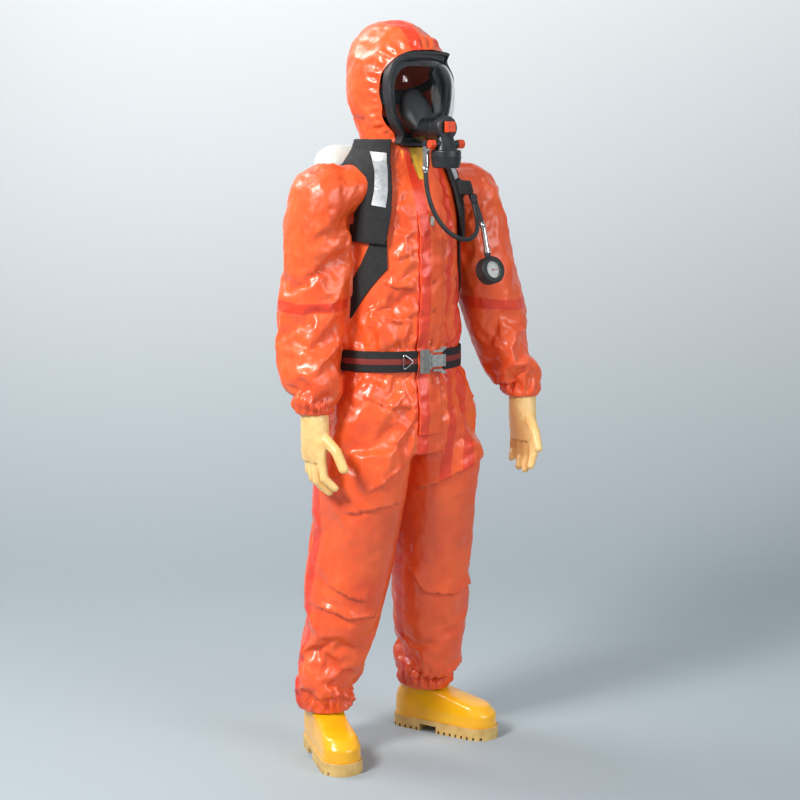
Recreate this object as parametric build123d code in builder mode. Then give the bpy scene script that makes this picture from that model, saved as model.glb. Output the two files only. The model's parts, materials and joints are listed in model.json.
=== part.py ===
"""Chemical protective suit with full-face mask, demand valve, harness and air cylinder.

Millimetres, +Z up. The suit stands on its boots at Z = 0 and faces -Y, so its right hand is at -X.
Every piece is modelled about the wearer's own centre line, and write_piece moves it to the row frame,
whose origin is the middle of the standing suit's footprint.
"""
from build123d import *
import math
import os

os.makedirs("parts", exist_ok=True)

# ---------------------------------------------------------------- driving dimensions
ORIGIN = (33.5, 46.5)       # centre of the whole suit's outline, seen from the wearer's centre line
WALL = 2.5                  # coated fabric with its taped seams
GAP = 0.4                   # clearance between pieces that lie on each other
NECK_Z = 1505.0             # seam between the hood and the body
WAIST_Z = 980.0             # middle of the waist belt
SHOULDER_Z = 1365.0         # shoulder pivots
SHOULDER_X = 200.0
SHOULDER_R = 82.0           # rounded head of the sleeve
ARM_PLANE = 163.5           # the sleeves never come nearer to the middle than this
ARMHOLE_R = 60.0
ELBOW_HALF = 78.0           # half the length of the soft elbow section
RIM_Y = -85.0               # plane of the mask's rim
PORT_Z = 1528.0             # axis of the mask's breathing port
PORT_R = 25.0
VALVE_Y = -199.0            # upright axis of the demand valve
KNOB_Z = 1491.0
HOSE_R = 5.5
GAUGE = (152.0, -172.0, 1190.0)
CYLINDER_Y = 246.0
CYLINDER_R = 68.0

# rings: height, centre x, centre y, half width, half depth
BODY = [
    (752, 0, 0, 202, 138), (850, 0, 0, 196, 142), (925, 0, 0, 170, 136), (WAIST_Z, 0, 0, 152, 122),
    (1035, 0, 0, 154, 136), (1100, 0, 0, 154, 146), (1200, 0, 0, 154, 146), (1330, 0, 0, 154, 140),
    (1385, 0, 0, 154, 122), (1425, 0, 0, 146, 102), (1452, 0, 0, 120, 93), (1480, 0, 0, 97, 89),
    (NECK_Z, 0, 0, 89, 87),
]
HOOD = [
    (NECK_Z + GAP, 0, 0, 89, 87), (1535, 0, -2, 96, 104), (1580, 0, -2, 108, 124), (1640, 0, 0, 114, 130),
    (1690, 0, 0, 110, 127), (1735, 0, 6, 92, 110), (1765, 0, 12, 60, 76), (1780, 0, 15, 26, 34),
]
LEGS = {
    "right": [
        (750, -101, 0, 99, 134), (650, -110, 4, 100, 122), (480, -136, 14, 97, 106),
        (300, -163, 34, 86, 92), (185, -178, 46, 78, 86), (135, -182, 50, 66, 76), (112, -184, 52, 62, 72),
    ],
    "left": [
        (750, 101, 0, 99, 134), (650, 104, 6, 99, 122), (480, 114, 20, 95, 106),
        (300, 126, 44, 85, 92), (185, 132, 62, 78, 86), (135, 134, 68, 66, 76), (112, 135, 70, 62, 72),
    ],
}
SLEEVES = {
    "right": [
        (SHOULDER_Z, -SHOULDER_X, 0, 81, 81), (1250, -212, 8, 79, 79),
        (1168, -222, 14, 76, 76), (1090, -232, 20, 74, 74), (1012, -242, 8, 73, 73),
        (930, -251, -12, 68, 68), (880, -256, -24, 50, 50), (858, -258, -29, 43, 43),
    ],
    "left": [
        (SHOULDER_Z, SHOULDER_X, 0, 81, 81), (1250, 236, -10, 79, 79),
        (1173, 260, -18, 76, 76), (1095, 284, -27, 74, 74), (1017, 302, -42, 73, 73),
        (935, 318, -60, 68, 68), (885, 327, -71, 50, 50), (863, 331, -76, 43, 43),
    ],
}
ELBOWS = {"right": (-232.0, 20.0, 1090.0), "left": (284.0, -27.0, 1095.0)}
# half outline of the mask's lens: height, half width, depth of its front in front of the rim
LENS = [
    (1498, 22, 36), (1515, 48, 74), (1540, 66, 95), (1575, 79, 99), (1615, 85, 93),
    (1650, 82, 80), (1675, 68, 58), (1692, 38, 30),
]
LENS_WALL = 2.6
# fingers: root and knuckle and tip, in a right hand's own frame, which hangs down -Z with its thumb at -Y
FINGERS = [
    ((-4, -36, -98), (-2, -46, -138), (18, -60, -162), 11.5),
    ((-6, -13, -102), (-4, -20, -148), (17, -36, -174), 11.5),
    ((-4, 10, -100), (-2, 6, -144), (18, -12, -170), 11.0),
    ((0, 31, -92), (3, 30, -130), (20, 15, -152), 10.0),
]
THUMB = ((4, -34, -42), (16, -72, -74), (22, -94, -112), 13.5)
WRISTS = {"right": (-258.0, -29.0, 850.0), "left": (331.0, -76.0, 855.0)}
BOOTS = {"right": (-183.0, 51.0, -18.0), "left": (136.0, 69.0, 24.0)}
SIGN = {"right": -1, "left": 1}


# ---------------------------------------------------------------- helpers
def write_piece(part, label):
    """Label a finished piece, move it to the row frame and write its STEP file."""
    placed = part.moved(Location((-ORIGIN[0], -ORIGIN[1], 0)))
    placed.label = label
    export_step(placed, f"parts/{label}.step")


def ring_loft(rings, grow=0.0, mode=Mode.ADD, ruled=True):
    """Loft through ellipses, each grown by grow, in the part under construction."""
    sections = []
    for z, x, y, half_width, half_depth in rings:
        with BuildSketch(Plane.XY.offset(z)) as section:
            with Locations((x, y)):
                Ellipse(half_width + grow, half_depth + grow)
        sections.append(section.sketch)
    loft(sections=sections, ruled=ruled, mode=mode)


def ellipse_band(z, height, x, y, outer, inner):
    """A short upright ring between two ellipses, in the part under construction."""
    with BuildSketch(Plane.XY.offset(z)) as band:
        with Locations((x, y)):
            Ellipse(*outer)
            Ellipse(*inner, mode=Mode.SUBTRACT)
    extrude(band.sketch, amount=height)


def hollow_loft(rings, top_wall=0.0):
    """A tube of fabric through the rings, open at both ends unless top_wall closes the upper one."""
    ring_loft(rings)
    inner = list(rings)
    if top_wall:
        z, x, y, half_width, half_depth = inner[-1]
        inner[-1] = (z - top_wall, x, y, half_width, half_depth)
    ring_loft(inner, -WALL, Mode.SUBTRACT)


def between(rings, low, high):
    """The rings from one height to another, with a ring worked out at each end."""
    ordered = sorted(rings)
    picked = []
    for lower, upper in zip(ordered, ordered[1:]):
        for z in (low, high):
            if lower[0] < z < upper[0]:
                share = (z - lower[0]) / (upper[0] - lower[0])
                picked.append(tuple(a + (b - a) * share for a, b in zip(lower, upper)))
    picked += [ring for ring in ordered if low <= ring[0] <= high]
    return sorted(picked)


def body_layer(inner, outer):
    """A layer that follows the body's outside, from inner to outer millimetres away from it."""
    ring_loft(BODY, outer)
    ring_loft(BODY, inner, Mode.SUBTRACT)


def keep_front_outline(points, y_from, y_to):
    """Keep only what lies behind an outline drawn in front view, between two depths."""
    with BuildSketch(Plane.XZ.offset(-y_from)) as outline:
        Polygon(*points, align=None)
    extrude(outline.sketch, amount=y_from - y_to, mode=Mode.INTERSECT)


def mask_outline(grow):
    """The closed outline of the lens in front view, grown outwards about its middle."""
    middle = (LENS[0][0] + LENS[-1][0]) / 2
    wider, taller = 1 + grow / 85, 1 + grow / 101
    side = [(half_width * wider, middle + (z - middle) * taller) for z, half_width, _ in LENS[1:-1]]
    bottom = (0, middle + (LENS[0][0] - 2 - middle) * taller)
    top = (0, middle + (LENS[-1][0] + 6 - middle) * taller)
    Spline(bottom, *side, top, tangents=((1, 0), (-1, 0)))
    Spline(top, *[(-x, z) for x, z in reversed(side)], bottom, tangents=((-1, 0), (1, 0)))


def capsule(start, end, radius, tip_radius):
    """A finger joint: a cone between two balls, turned as one profile."""
    axis = Vector(*end) - Vector(*start)
    plane = Plane(origin=start, z_dir=axis)
    length = axis.length
    lean = math.asin((radius - tip_radius) / length)
    foot = (radius * math.cos(lean), radius * math.sin(lean))
    head = (tip_radius * math.cos(lean), length + tip_radius * math.sin(lean))
    with BuildSketch(Plane(origin=start, x_dir=plane.x_dir, z_dir=-plane.y_dir)) as profile:
        with BuildLine():
            CenterArc((0, 0), radius, -90, 90 + math.degrees(lean))
            Line(foot, head)
            CenterArc((0, length), tip_radius, math.degrees(lean), 90 - math.degrees(lean))
            Line((0, length + tip_radius), (0, -radius))
        make_face()
    revolve(profile.sketch, axis=Axis(start, axis))


def tube_path(points, radii):
    """Straight runs joined by tangent arcs, one radius for each corner."""
    return FilletPolyline(*points, radius=radii)


def corner_radii(points, share=0.45):
    """The largest arc that each corner's two runs leave room for."""
    radii = []
    for before, corner, after in zip(points, points[1:], points[2:]):
        first = Vector(*corner) - Vector(*before)
        second = Vector(*after) - Vector(*corner)
        turn = math.radians(first.get_angle(second))
        radii.append(share * min(first.length, second.length) / math.tan(turn / 2))
    return radii


# ---------------------------------------------------------------- coverall: body panels
V_NECK = [(0, 1338), (-28, 1500), (22, 1500)]       # where the front zip is left open below the chin
HOOD_EDGE = 11.5                                    # how far the hood's opening lies outside the lens

with BuildPart() as whole_body:
    hollow_loft(BODY)
    with Locations((0, 0, SHOULDER_Z)):
        Cylinder(ARMHOLE_R, 600, rotation=(0, 90, 0), mode=Mode.SUBTRACT)
    with BuildSketch(Plane.XZ.offset(40)):
        Polygon(*V_NECK, align=None)
        with BuildLine():
            mask_outline(HOOD_EDGE)
        make_face()
    extrude(amount=300, mode=Mode.SUBTRACT)


def body_panel(x_from, x_to, y_from, y_to):
    """One panel of the coverall's body, cut from the whole hollow body."""
    add(whole_body.part)
    with Locations(((x_from + x_to) / 2, (y_from + y_to) / 2, 1150)):
        Box(x_to - x_from, y_to - y_from, 900, mode=Mode.INTERSECT)


SIDE_SEAM_Y = 12.0

with BuildPart() as front_right_panel:
    body_panel(-300, -0.2, -300, SIDE_SEAM_Y)
write_piece(front_right_panel.part, "front_right_panel")

with BuildPart() as front_left_panel:
    body_panel(0.2, 300, -300, SIDE_SEAM_Y)
write_piece(front_left_panel.part, "front_left_panel")

with BuildPart() as back_panel:
    body_panel(-300, 300, SIDE_SEAM_Y + GAP, 300)
write_piece(back_panel.part, "back_panel")

# zip chain on the front panels, slider on it, and the flap that covers both
ZIP_LOW, ZIP_HIGH = 800.0, 1336.0
with BuildPart() as zip_chain:
    body_layer(GAP, 2.2)
    keep_front_outline([(-9, ZIP_LOW), (9, ZIP_LOW), (9, ZIP_HIGH), (-9, ZIP_HIGH)], -50, -200)
write_piece(zip_chain.part, "zip_chain")

# the zip's straight run leans from the chest to the neck, and the slider travels along it
ZIP_TOP = (0.0, -140.0, 1330.0)
ZIP_FOOT = (0.0, -146.0, 1200.0)
zip_run = Vector(*ZIP_FOOT) - Vector(*ZIP_TOP)
slider_plane = Plane(origin=(0, -140.9, 1311), x_dir=(1, 0, 0), z_dir=(0, zip_run.Z, -zip_run.Y))
with BuildPart() as zip_slider:
    with BuildSketch(slider_plane.offset(2.7)):
        SlotOverall(22, 11, rotation=90)
    extrude(amount=2.2)
    with BuildSketch(slider_plane.offset(4.9)):
        with Locations((0, 5)):
            Rectangle(4, 6)
    extrude(amount=1.0)
    fillet(zip_slider.faces().sort_by(Axis.Y)[0].edges(), 0.3)
write_piece(zip_slider.part, "zip_slider")

FLAP_INNER, FLAP_OUTER = 7.6, 9.8
with BuildPart() as flap_cover:
    body_layer(FLAP_INNER, FLAP_OUTER)
    keep_front_outline([(-36, 800), (34, 800), (34, 1305), (18, 1330), (-36, 1330)], -50, -200)
with BuildPart() as flap_seam:
    body_layer(GAP, FLAP_OUTER)
    keep_front_outline([(24, 800), (34, 800), (34, 1305), (24, 1321)], -50, -200)
with BuildPart() as storm_flap:
    add(flap_cover.part)
    add(flap_seam.part)
write_piece(storm_flap.part, "storm_flap")

# soft yellow guard behind the open top of the zip
with BuildPart() as neck_guard:
    ring_loft(between(BODY, 1300, NECK_Z), -WALL - GAP)
    ring_loft(between(BODY, 1300, NECK_Z), -WALL - GAP - 2.0, Mode.SUBTRACT)
    keep_front_outline([(-38, 1302), (38, 1302), (44, 1484), (-44, 1484)], -20, -200)
write_piece(neck_guard.part, "neck_guard")

# ---------------------------------------------------------------- coverall: hood
with BuildPart() as hood:
    hollow_loft(HOOD, top_wall=WALL)
    with BuildSketch(Plane.XZ.offset(40)):
        with BuildLine():
            mask_outline(HOOD_EDGE)
        make_face()
    extrude(amount=200, mode=Mode.SUBTRACT)
write_piece(hood.part, "hood")

# elastic cords that gather the hood's edge, the waist and the trouser hems
with BuildPart() as gathering_elastics:
    with BuildSketch(Plane.XZ.offset(62)):
        with BuildLine():
            mask_outline(HOOD_EDGE - 1.4)
        make_face()
        with BuildLine():
            mask_outline(HOOD_EDGE - 5)
        make_face(mode=Mode.SUBTRACT)
    extrude(amount=6)
    for rings in LEGS.values():
        z, x, y, half_width, half_depth = rings[-1]
        outer = (half_width - WALL - GAP, half_depth - WALL - GAP)
        inner = (outer[0] - 2, outer[1] - 2)
        ellipse_band(z + 2, 8, x, y, outer, inner)
    ellipse_band(WAIST_Z - 10, 20, 0, 0, (148.5, 118.5), (146.5, 116.5))
write_piece(gathering_elastics.part, "gathering_elastics")

# ---------------------------------------------------------------- coverall: legs and sleeves
for side, rings in LEGS.items():
    with BuildPart() as leg:
        hollow_loft(rings[::-1])
    write_piece(leg.part, f"leg_{side}")


def sleeve_solid(rings, sign, wall):
    """A filled-in length of sleeve made smaller by wall, cut off flat beside the body."""
    with BuildPart() as solid:
        ring_loft(rings, -wall)
        if rings[-1][0] == SHOULDER_Z:
            with Locations((sign * SHOULDER_X, 0, SHOULDER_Z)):
                Sphere(SHOULDER_R - wall)
        with Locations((sign * (ARM_PLANE + wall + 300), 0, SHOULDER_Z)):
            Box(600, 600, 1200, mode=Mode.INTERSECT)
    return solid.part


for side, rings in SLEEVES.items():
    sign = SIGN[side]
    elbow_z = ELBOWS[side][2]
    upper_rings = between(rings, elbow_z + ELBOW_HALF, SHOULDER_Z)
    elbow_rings = between(rings, elbow_z - ELBOW_HALF + GAP, elbow_z + ELBOW_HALF - GAP)
    lower_rings = between(rings, 0, elbow_z - ELBOW_HALF)

    with BuildPart() as upper_sleeve:
        add(sleeve_solid(upper_rings, sign, 0))
        add(sleeve_solid(upper_rings, sign, WALL), mode=Mode.SUBTRACT)
        with Locations((sign * ARM_PLANE, 0, SHOULDER_Z)):
            Cylinder(ARMHOLE_R, 20, rotation=(0, 90, 0), mode=Mode.SUBTRACT)
    write_piece(upper_sleeve.part, f"upper_sleeve_{side}")

    with BuildPart() as elbow_section:
        add(sleeve_solid(elbow_rings, sign, 0))
        add(sleeve_solid(elbow_rings, sign, WALL), mode=Mode.SUBTRACT)
    write_piece(elbow_section.part, f"elbow_section_{side}")

    with BuildPart() as lower_sleeve:
        hollow_loft(lower_rings)
    write_piece(lower_sleeve.part, f"lower_sleeve_{side}")

# ---------------------------------------------------------------- gloves
PALM = [
    (60, 0, 0, 34.5, 34.5), (0, 0, -2, 32, 36), (-30, 0, -2, 30, 41), (-70, -2, -2, 24, 46),
    (-104, -2, -3, 17, 47),
]
PALM_INSIDE = [(60, 0, 0, 32.5, 32.5), (0, 0, -2, 29, 33), (-30, 0, -2, 27, 38), (-92, -2, -2, 16, 42)]


def flipped(rings, flip):
    """The rings as they are, or mirrored about x = 0 with flip of -1."""
    return [(z, x * flip, y, half_width, half_depth) for z, x, y, half_width, half_depth in rings]


for side, wrist in WRISTS.items():
    flip = -SIGN[side]
    with BuildPart() as glove:
        ring_loft(flipped(PALM, flip), ruled=False)
        for root, knuckle, tip, radius in [*FINGERS, THUMB]:
            joints = [(x * flip, y, z) for x, y, z in (root, knuckle, tip)]
            capsule(joints[0], joints[1], radius, radius - 0.8)
            capsule(joints[1], joints[2], radius - 0.9, radius - 2.4)
        ring_loft(flipped(PALM_INSIDE, flip), mode=Mode.SUBTRACT, ruled=False)
    write_piece(glove.part.moved(Location(wrist)), f"glove_{side}")

# ---------------------------------------------------------------- boots
SOLE_TOP = 30.0
LUG_HEIGHT = 8.0
SOLE_RING = (0, -207, 85, 51, 43)
# rings of the upper: height, toe, heel, radius of the toe end, radius of the heel end
BOOT_RINGS = [
    (SOLE_TOP + GAP, -203, 81, 48, 41), (60, -202, 81, 47, 42), (82, -180, 79, 42, 42),
    (96, -120, 74, 38, 42),
    (110, -62, 64, 41, 43), (135, -52, 60, 42, 44), (200, -48, 58, 43, 46), (272, -48, 58, 45, 49),
]


def boot_outline(z, toe, heel, toe_radius, heel_radius):
    """The outline round two circles, one at the toe and one at the heel, as a sketch at height z."""
    with BuildSketch(Plane.XY.offset(z)) as outline:
        with Locations((0, toe + toe_radius)):
            Circle(toe_radius)
        with Locations((0, heel - heel_radius)):
            Circle(heel_radius)
        make_hull()
    return outline.sketch


for side, (ankle_x, ankle_y, turn) in BOOTS.items():
    stand = Location((ankle_x, ankle_y, 0), (0, 0, turn))

    with BuildPart() as boot_sole:
        extrude(boot_outline(*SOLE_RING), amount=SOLE_TOP)
        with Locations((0, -34, 6)):
            Box(130, 50, 24, mode=Mode.SUBTRACT)
        for row in [17 * n for n in range(5)] + [-67 - 17 * n for n in range(8)]:
            with Locations((0, row, LUG_HEIGHT / 2)):
                Box(130, 6, LUG_HEIGHT, mode=Mode.SUBTRACT)
    write_piece(boot_sole.part.moved(stand), f"boot_sole_{side}")

    with BuildPart() as boot_upper:
        loft(sections=[boot_outline(*ring) for ring in BOOT_RINGS], ruled=True)
        inside = [(z, toe + 3, heel - 3, front - 3, back - 3) for z, toe, heel, front, back in BOOT_RINGS]
        inside[0] = (SOLE_TOP + 4, *inside[0][1:])
        loft(sections=[boot_outline(*ring) for ring in inside], ruled=True, mode=Mode.SUBTRACT)
    write_piece(boot_upper.part.moved(stand), f"boot_upper_{side}")

# ---------------------------------------------------------------- mask
rim_plane = Plane.XZ.offset(-RIM_Y)


def lens_solid(shrink):
    """The domed front of the lens, filled in, with its wall moved inwards by shrink."""
    sections = []
    for z, half_width, depth in LENS:
        lift = shrink if z == LENS[0][0] else 0
        drop = shrink if z == LENS[-1][0] else 0
        with BuildSketch(Plane.XY.offset(z + lift - drop)) as section:
            with BuildLine():
                EllipticalCenterArc((0, RIM_Y), half_width - shrink, depth - shrink, 180, arc_size=180)
                Line((half_width - shrink, RIM_Y), (shrink - half_width, RIM_Y))
            make_face()
        sections.append(section.sketch)
    loft(sections=sections)


with BuildPart() as lens_inside:
    lens_solid(LENS_WALL)
with BuildPart() as mask_lens:
    lens_solid(0)
    add(lens_inside.part, mode=Mode.SUBTRACT)
    with Locations((0, RIM_Y, 1600)):
        Box(400, 17, 400, mode=Mode.SUBTRACT)
    with Locations(Plane((0, RIM_Y - 60, PORT_Z), z_dir=(0, -1, 0))):
        Cylinder(PORT_R + GAP, 160, mode=Mode.SUBTRACT)
write_piece(mask_lens.part, "mask_lens")

with BuildPart() as mask_frame:
    with BuildSketch(rim_plane.offset(-7)):
        with BuildLine():
            mask_outline(10)
        make_face()
        with BuildLine():
            mask_outline(-9)
        make_face(mode=Mode.SUBTRACT)
    extrude(amount=15)
    with BuildSketch(rim_plane.offset(8)):
        with BuildLine():
            mask_outline(10)
        make_face()
        with BuildLine():
            mask_outline(3)
        make_face(mode=Mode.SUBTRACT)
    extrude(amount=7)
write_piece(mask_frame.part, "mask_frame")

with BuildPart() as face_seal:
    with BuildSketch(rim_plane.offset(-12)):
        with BuildLine():
            mask_outline(7)
        make_face()
        with BuildLine():
            mask_outline(-24)
        make_face(mode=Mode.SUBTRACT)
    extrude(amount=4.6)
    with BuildSketch(rim_plane.offset(-24)):
        with BuildLine():
            mask_outline(-20)
        make_face()
        with BuildLine():
            mask_outline(-24)
        make_face(mode=Mode.SUBTRACT)
    extrude(amount=12)
write_piece(face_seal.part, "face_seal")

NOSE_CUP = [(62, 1575, 38, 45), (84, 1562, 41, 46), (103, 1546, 34, 35), (117, PORT_Z + 2, 25, 25)]
with BuildPart() as nose_cup:
    for wall, mode in ((0, Mode.ADD), (2.2, Mode.SUBTRACT)):
        for depth, z, half_width, half_height in NOSE_CUP:
            with BuildSketch(Plane.XZ.offset(depth)):
                with Locations((0, z)):
                    Ellipse(half_width - wall, half_height - wall)
        loft(mode=mode)
write_piece(nose_cup.part, "nose_cup")

PORT_BACK, PORT_FRONT = 117.5, 186.0
VALVE_HOLES = [(9 * math.cos(math.radians(60 * n)), 9 * math.sin(math.radians(60 * n))) for n in range(6)]
with BuildPart() as mask_port:
    with BuildSketch(Plane.XZ.offset(PORT_BACK)):
        with Locations((0, PORT_Z)):
            Circle(PORT_R)
            Circle(PORT_R - 3, mode=Mode.SUBTRACT)
    extrude(amount=PORT_FRONT - PORT_BACK)
    with BuildSketch(Plane.XZ.offset(PORT_BACK + 42)):
        with Locations((0, PORT_Z)):
            Circle(PORT_R - 2)
        with Locations(*[(x, PORT_Z + z) for x, z in VALVE_HOLES]):
            Circle(3.2, mode=Mode.SUBTRACT)
    extrude(amount=3)
write_piece(mask_port.part, "mask_port")

with BuildPart() as exhalation_valve:
    with BuildSketch(Plane.XZ.offset(PORT_BACK + 45 + GAP)):
        with Locations((0, PORT_Z)):
            Circle(16)
    extrude(amount=1.2)
    with BuildSketch(Plane.XZ.offset(PORT_BACK + 46 + GAP)):
        with Locations((0, PORT_Z)):
            Circle(3)
    extrude(amount=4)
write_piece(exhalation_valve.part, "exhalation_valve")

# five straps that hold the mask, running round the back of the head inside the hood
with BuildPart() as head_harness:
    with BuildSketch(Plane.XZ):
        with BuildLine():
            EllipticalCenterArc((0, 1605), 93, 118, -90, arc_size=180)
            Line((0, 1723), (0, 1487))
        make_face()
    revolve(axis=Axis((0, 0, 0), (0, 0, 1)))
    with BuildSketch(Plane.XZ):
        with BuildLine():
            EllipticalCenterArc((0, 1605), 91, 116, -90, arc_size=180)
            Line((0, 1721), (0, 1489))
        make_face()
    revolve(axis=Axis((0, 0, 0), (0, 0, 1)), mode=Mode.SUBTRACT)
    with BuildSketch(Plane.YZ.offset(-200)):
        Polygon((-57, 1660), (-57, 1640), (60, 1600), (120, 1600), (120, 1622), (60, 1622), align=None)
        Polygon((-57, 1550), (-57, 1530), (60, 1585), (120, 1588), (120, 1612), (60, 1606), align=None)
    side_bands = extrude(amount=400, mode=Mode.PRIVATE)
    with BuildSketch(Plane.YZ.offset(-11)):
        with Locations((33, 1665)):
            Rectangle(180, 130)
    crown_band = extrude(amount=22, mode=Mode.PRIVATE)
    add(side_bands + crown_band, mode=Mode.INTERSECT)
write_piece(head_harness.part, "head_harness")

# ---------------------------------------------------------------- demand valve
SOCKET_BACK, SOCKET_FRONT = 186.4, 206.0
DISH_TOP, DISH_Z = 1478.0, 1462.0
DISH_R = 35.0
FITTING = (-43.0, VALVE_Y + 20)
FITTING_TOP = 1486.0
with BuildPart() as valve_body:
    with BuildSketch(Plane.XZ.offset(SOCKET_BACK)):
        with Locations((0, PORT_Z)):
            Circle(PORT_R + 3)
    extrude(amount=SOCKET_FRONT - SOCKET_BACK)
    fillet(valve_body.faces().sort_by(Axis.Y)[0].edges(), 4)
    with BuildSketch(Plane.XY.offset(DISH_TOP - 1)):
        with Locations((0, VALVE_Y)):
            Ellipse(28, 24)
    with BuildSketch(Plane.XY.offset(PORT_Z - 14)):
        with Locations((0, VALVE_Y)):
            Ellipse(18, 7)
    loft()
    with BuildSketch(Plane.XY.offset(DISH_Z)):
        with Locations((0, VALVE_Y)):
            Circle(DISH_R)
    extrude(amount=DISH_TOP - DISH_Z)
    fillet(valve_body.edges().filter_by(GeomType.CIRCLE).filter_by_position(Axis.Z, DISH_TOP, DISH_TOP), 5)
    with BuildSketch(Plane.YZ.offset(-31)):
        with Locations((VALVE_Y, KNOB_Z)):
            Circle(9)
    extrude(amount=62)
    with BuildSketch(Plane.XY.offset(FITTING_TOP)):
        with Locations(FITTING):
            Circle(8)
    extrude(amount=14)
    with BuildSketch(Plane.YZ.offset(FITTING[0])):
        with Locations((FITTING[1], FITTING_TOP + 7)):
            Circle(7)
    extrude(amount=34)
write_piece(valve_body.part, "valve_body")

with BuildPart() as valve_cover:
    with BuildSketch(Plane.XY.offset(DISH_Z - GAP)):
        with Locations((0, VALVE_Y)):
            Circle(DISH_R + 1)
    extrude(amount=-26, taper=9)
    fillet(valve_cover.faces().sort_by(Axis.Z)[0].edges(), 7)
    with BuildSketch(Plane.XY.offset(DISH_Z - GAP)):
        with Locations((0, VALVE_Y)):
            Circle(DISH_R - 2)
    extrude(amount=-20, taper=9, mode=Mode.SUBTRACT)
    with Locations((0, VALVE_Y, DISH_Z - 24)):
        with PolarLocations(19, 6):
            Cylinder(2.2, 12, mode=Mode.SUBTRACT)
write_piece(valve_cover.part, "valve_cover")

with BuildPart() as bypass_knob:
    with BuildSketch(Plane.YZ.offset(31 + GAP)):
        with Locations((VALVE_Y, KNOB_Z)):
            Circle(9.6)
            with PolarLocations(9.6, 12):
                Circle(0.9)
    extrude(amount=17)
    chamfer(bypass_knob.faces().sort_by(Axis.X)[-1].edges(), 0.4)
write_piece(bypass_knob.part, "bypass_knob")

with BuildPart() as reset_button:
    with BuildSketch(Plane.YZ.offset(-31 - 3.5)):
        with Locations((VALVE_Y, KNOB_Z)):
            Circle(9.6)
    extrude(amount=-14)
    fillet(reset_button.faces().sort_by(Axis.X)[0].edges(), 1.5)
write_piece(reset_button.part, "reset_button")

with BuildPart() as release_catch:
    with BuildSketch(Plane.XZ.offset(SOCKET_FRONT + 4.5)):
        with Locations((0, PORT_Z + 2)):
            RectangleRounded(26, 26, 3)
    extrude(amount=11, taper=8)
    fillet(release_catch.faces().sort_by(Axis.Y)[0].edges(), 1.5)
write_piece(release_catch.part, "release_catch")

with BuildPart() as hose_fitting:
    with BuildSketch(Plane.XY.offset(FITTING_TOP - GAP)):
        with Locations(FITTING):
            RegularPolygon(9.2, 6)
    extrude(amount=-18)
    with BuildSketch(Plane.XY.offset(FITTING_TOP - GAP - 18)):
        with Locations(FITTING):
            Circle(6.6)
    extrude(amount=-4)
    with BuildSketch(Plane.XY.offset(FITTING_TOP - GAP - 22)):
        with Locations(FITTING):
            Circle(8)
    extrude(amount=-24)
write_piece(hose_fitting.part, "hose_fitting")

# ---------------------------------------------------------------- harness
PAD_INNER, PAD_OUTER = 4.0, 15.0
GUIDE_Z = 1370.0            # foot of the block on the left pad that both hoses come out of
with BuildPart() as pad_straps:
    body_layer(PAD_INNER, PAD_OUTER)
    with BuildSketch(Plane.XZ.offset(-260)):
        for sign in (-1, 1):
            Polygon(
                (sign * 66, 1503), (sign * 122, 1503), (sign * 150, 1400), (sign * 158, 1262),
                (sign * 112, 1256), (sign * 92, 1380), align=None,
            )
    extrude(amount=520, mode=Mode.INTERSECT)
with BuildPart() as hose_block:
    body_layer(PAD_OUTER - 1, 42)
    keep_front_outline([(106, GUIDE_Z), (151, GUIDE_Z), (151, 1404), (108, 1404)], -40, -220)
with BuildPart() as shoulder_pads:
    add(pad_straps.part)
    add(hose_block.part)
write_piece(shoulder_pads.part, "shoulder_pads")

with BuildPart() as reflective_patches:
    body_layer(PAD_OUTER + GAP, PAD_OUTER + 1.6)
    with BuildSketch(Plane.XZ):
        Polygon((-84, 1470), (-108, 1474), (-136, 1350), (-112, 1344), align=None)
        Polygon((84, 1470), (108, 1474), (122, 1412), (98, 1407), align=None)
    extrude(amount=260, mode=Mode.INTERSECT)
write_piece(reflective_patches.part, "reflective_patches")

with BuildPart() as lower_straps:
    body_layer(1.0, 3.6)
    with BuildSketch(Plane.YZ.offset(-300)):
        Polygon(
            (-160, 1290), (-92, 1290), (-58, 1210), (10, 1100), (95, 1012), (70, 998), (-32, 1085),
            (-110, 1200), (-160, 1240), align=None,
        )
    extrude(amount=600, mode=Mode.INTERSECT)
    with Locations((-150, 0, 1150), (150, 0, 1150)):
        Box(90, 400, 400, mode=Mode.INTERSECT)
write_piece(lower_straps.part, "lower_straps")

BELT_X, BELT_Y, BELT_THICK = 162.5, 140.0, 3.0
BELT_HALF = 25.0
with BuildPart() as waist_belt:
    ellipse_band(WAIST_Z - BELT_HALF, 2 * BELT_HALF, 0, 0, (BELT_X + 3, BELT_Y + 3), (BELT_X, BELT_Y))
    with Locations((4, -BELT_Y, WAIST_Z)):
        Box(78, 60, 60, mode=Mode.SUBTRACT)
write_piece(waist_belt.part, "waist_belt")
BUCKLE_Y = -(BELT_Y + BELT_THICK) - 5

# one-touch buckle: the tongue's plate slides into the body, and two ears release it
with BuildPart() as buckle_body:
    with Locations((-22, BUCKLE_Y, WAIST_Z)):
        Box(22, 12, 56)
    fillet(buckle_body.edges().filter_by(Axis.Z), 2)
    with Locations((-12, BUCKLE_Y, WAIST_Z)):
        Box(20, 5, 40, mode=Mode.SUBTRACT)
write_piece(buckle_body.part, "buckle_body")

with BuildPart() as buckle_tongue:
    with Locations((-11, BUCKLE_Y, WAIST_Z)):
        Box(18, 4, 38)
    with Locations((10, BUCKLE_Y, WAIST_Z)):
        Box(52, 4, 29)
    with Locations((16, BUCKLE_Y, WAIST_Z)):
        Box(40, 8, 29)
    with Locations((30, BUCKLE_Y - 4, WAIST_Z)):
        Box(3, 3, 30, mode=Mode.SUBTRACT)
write_piece(buckle_tongue.part, "buckle_tongue")

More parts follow.
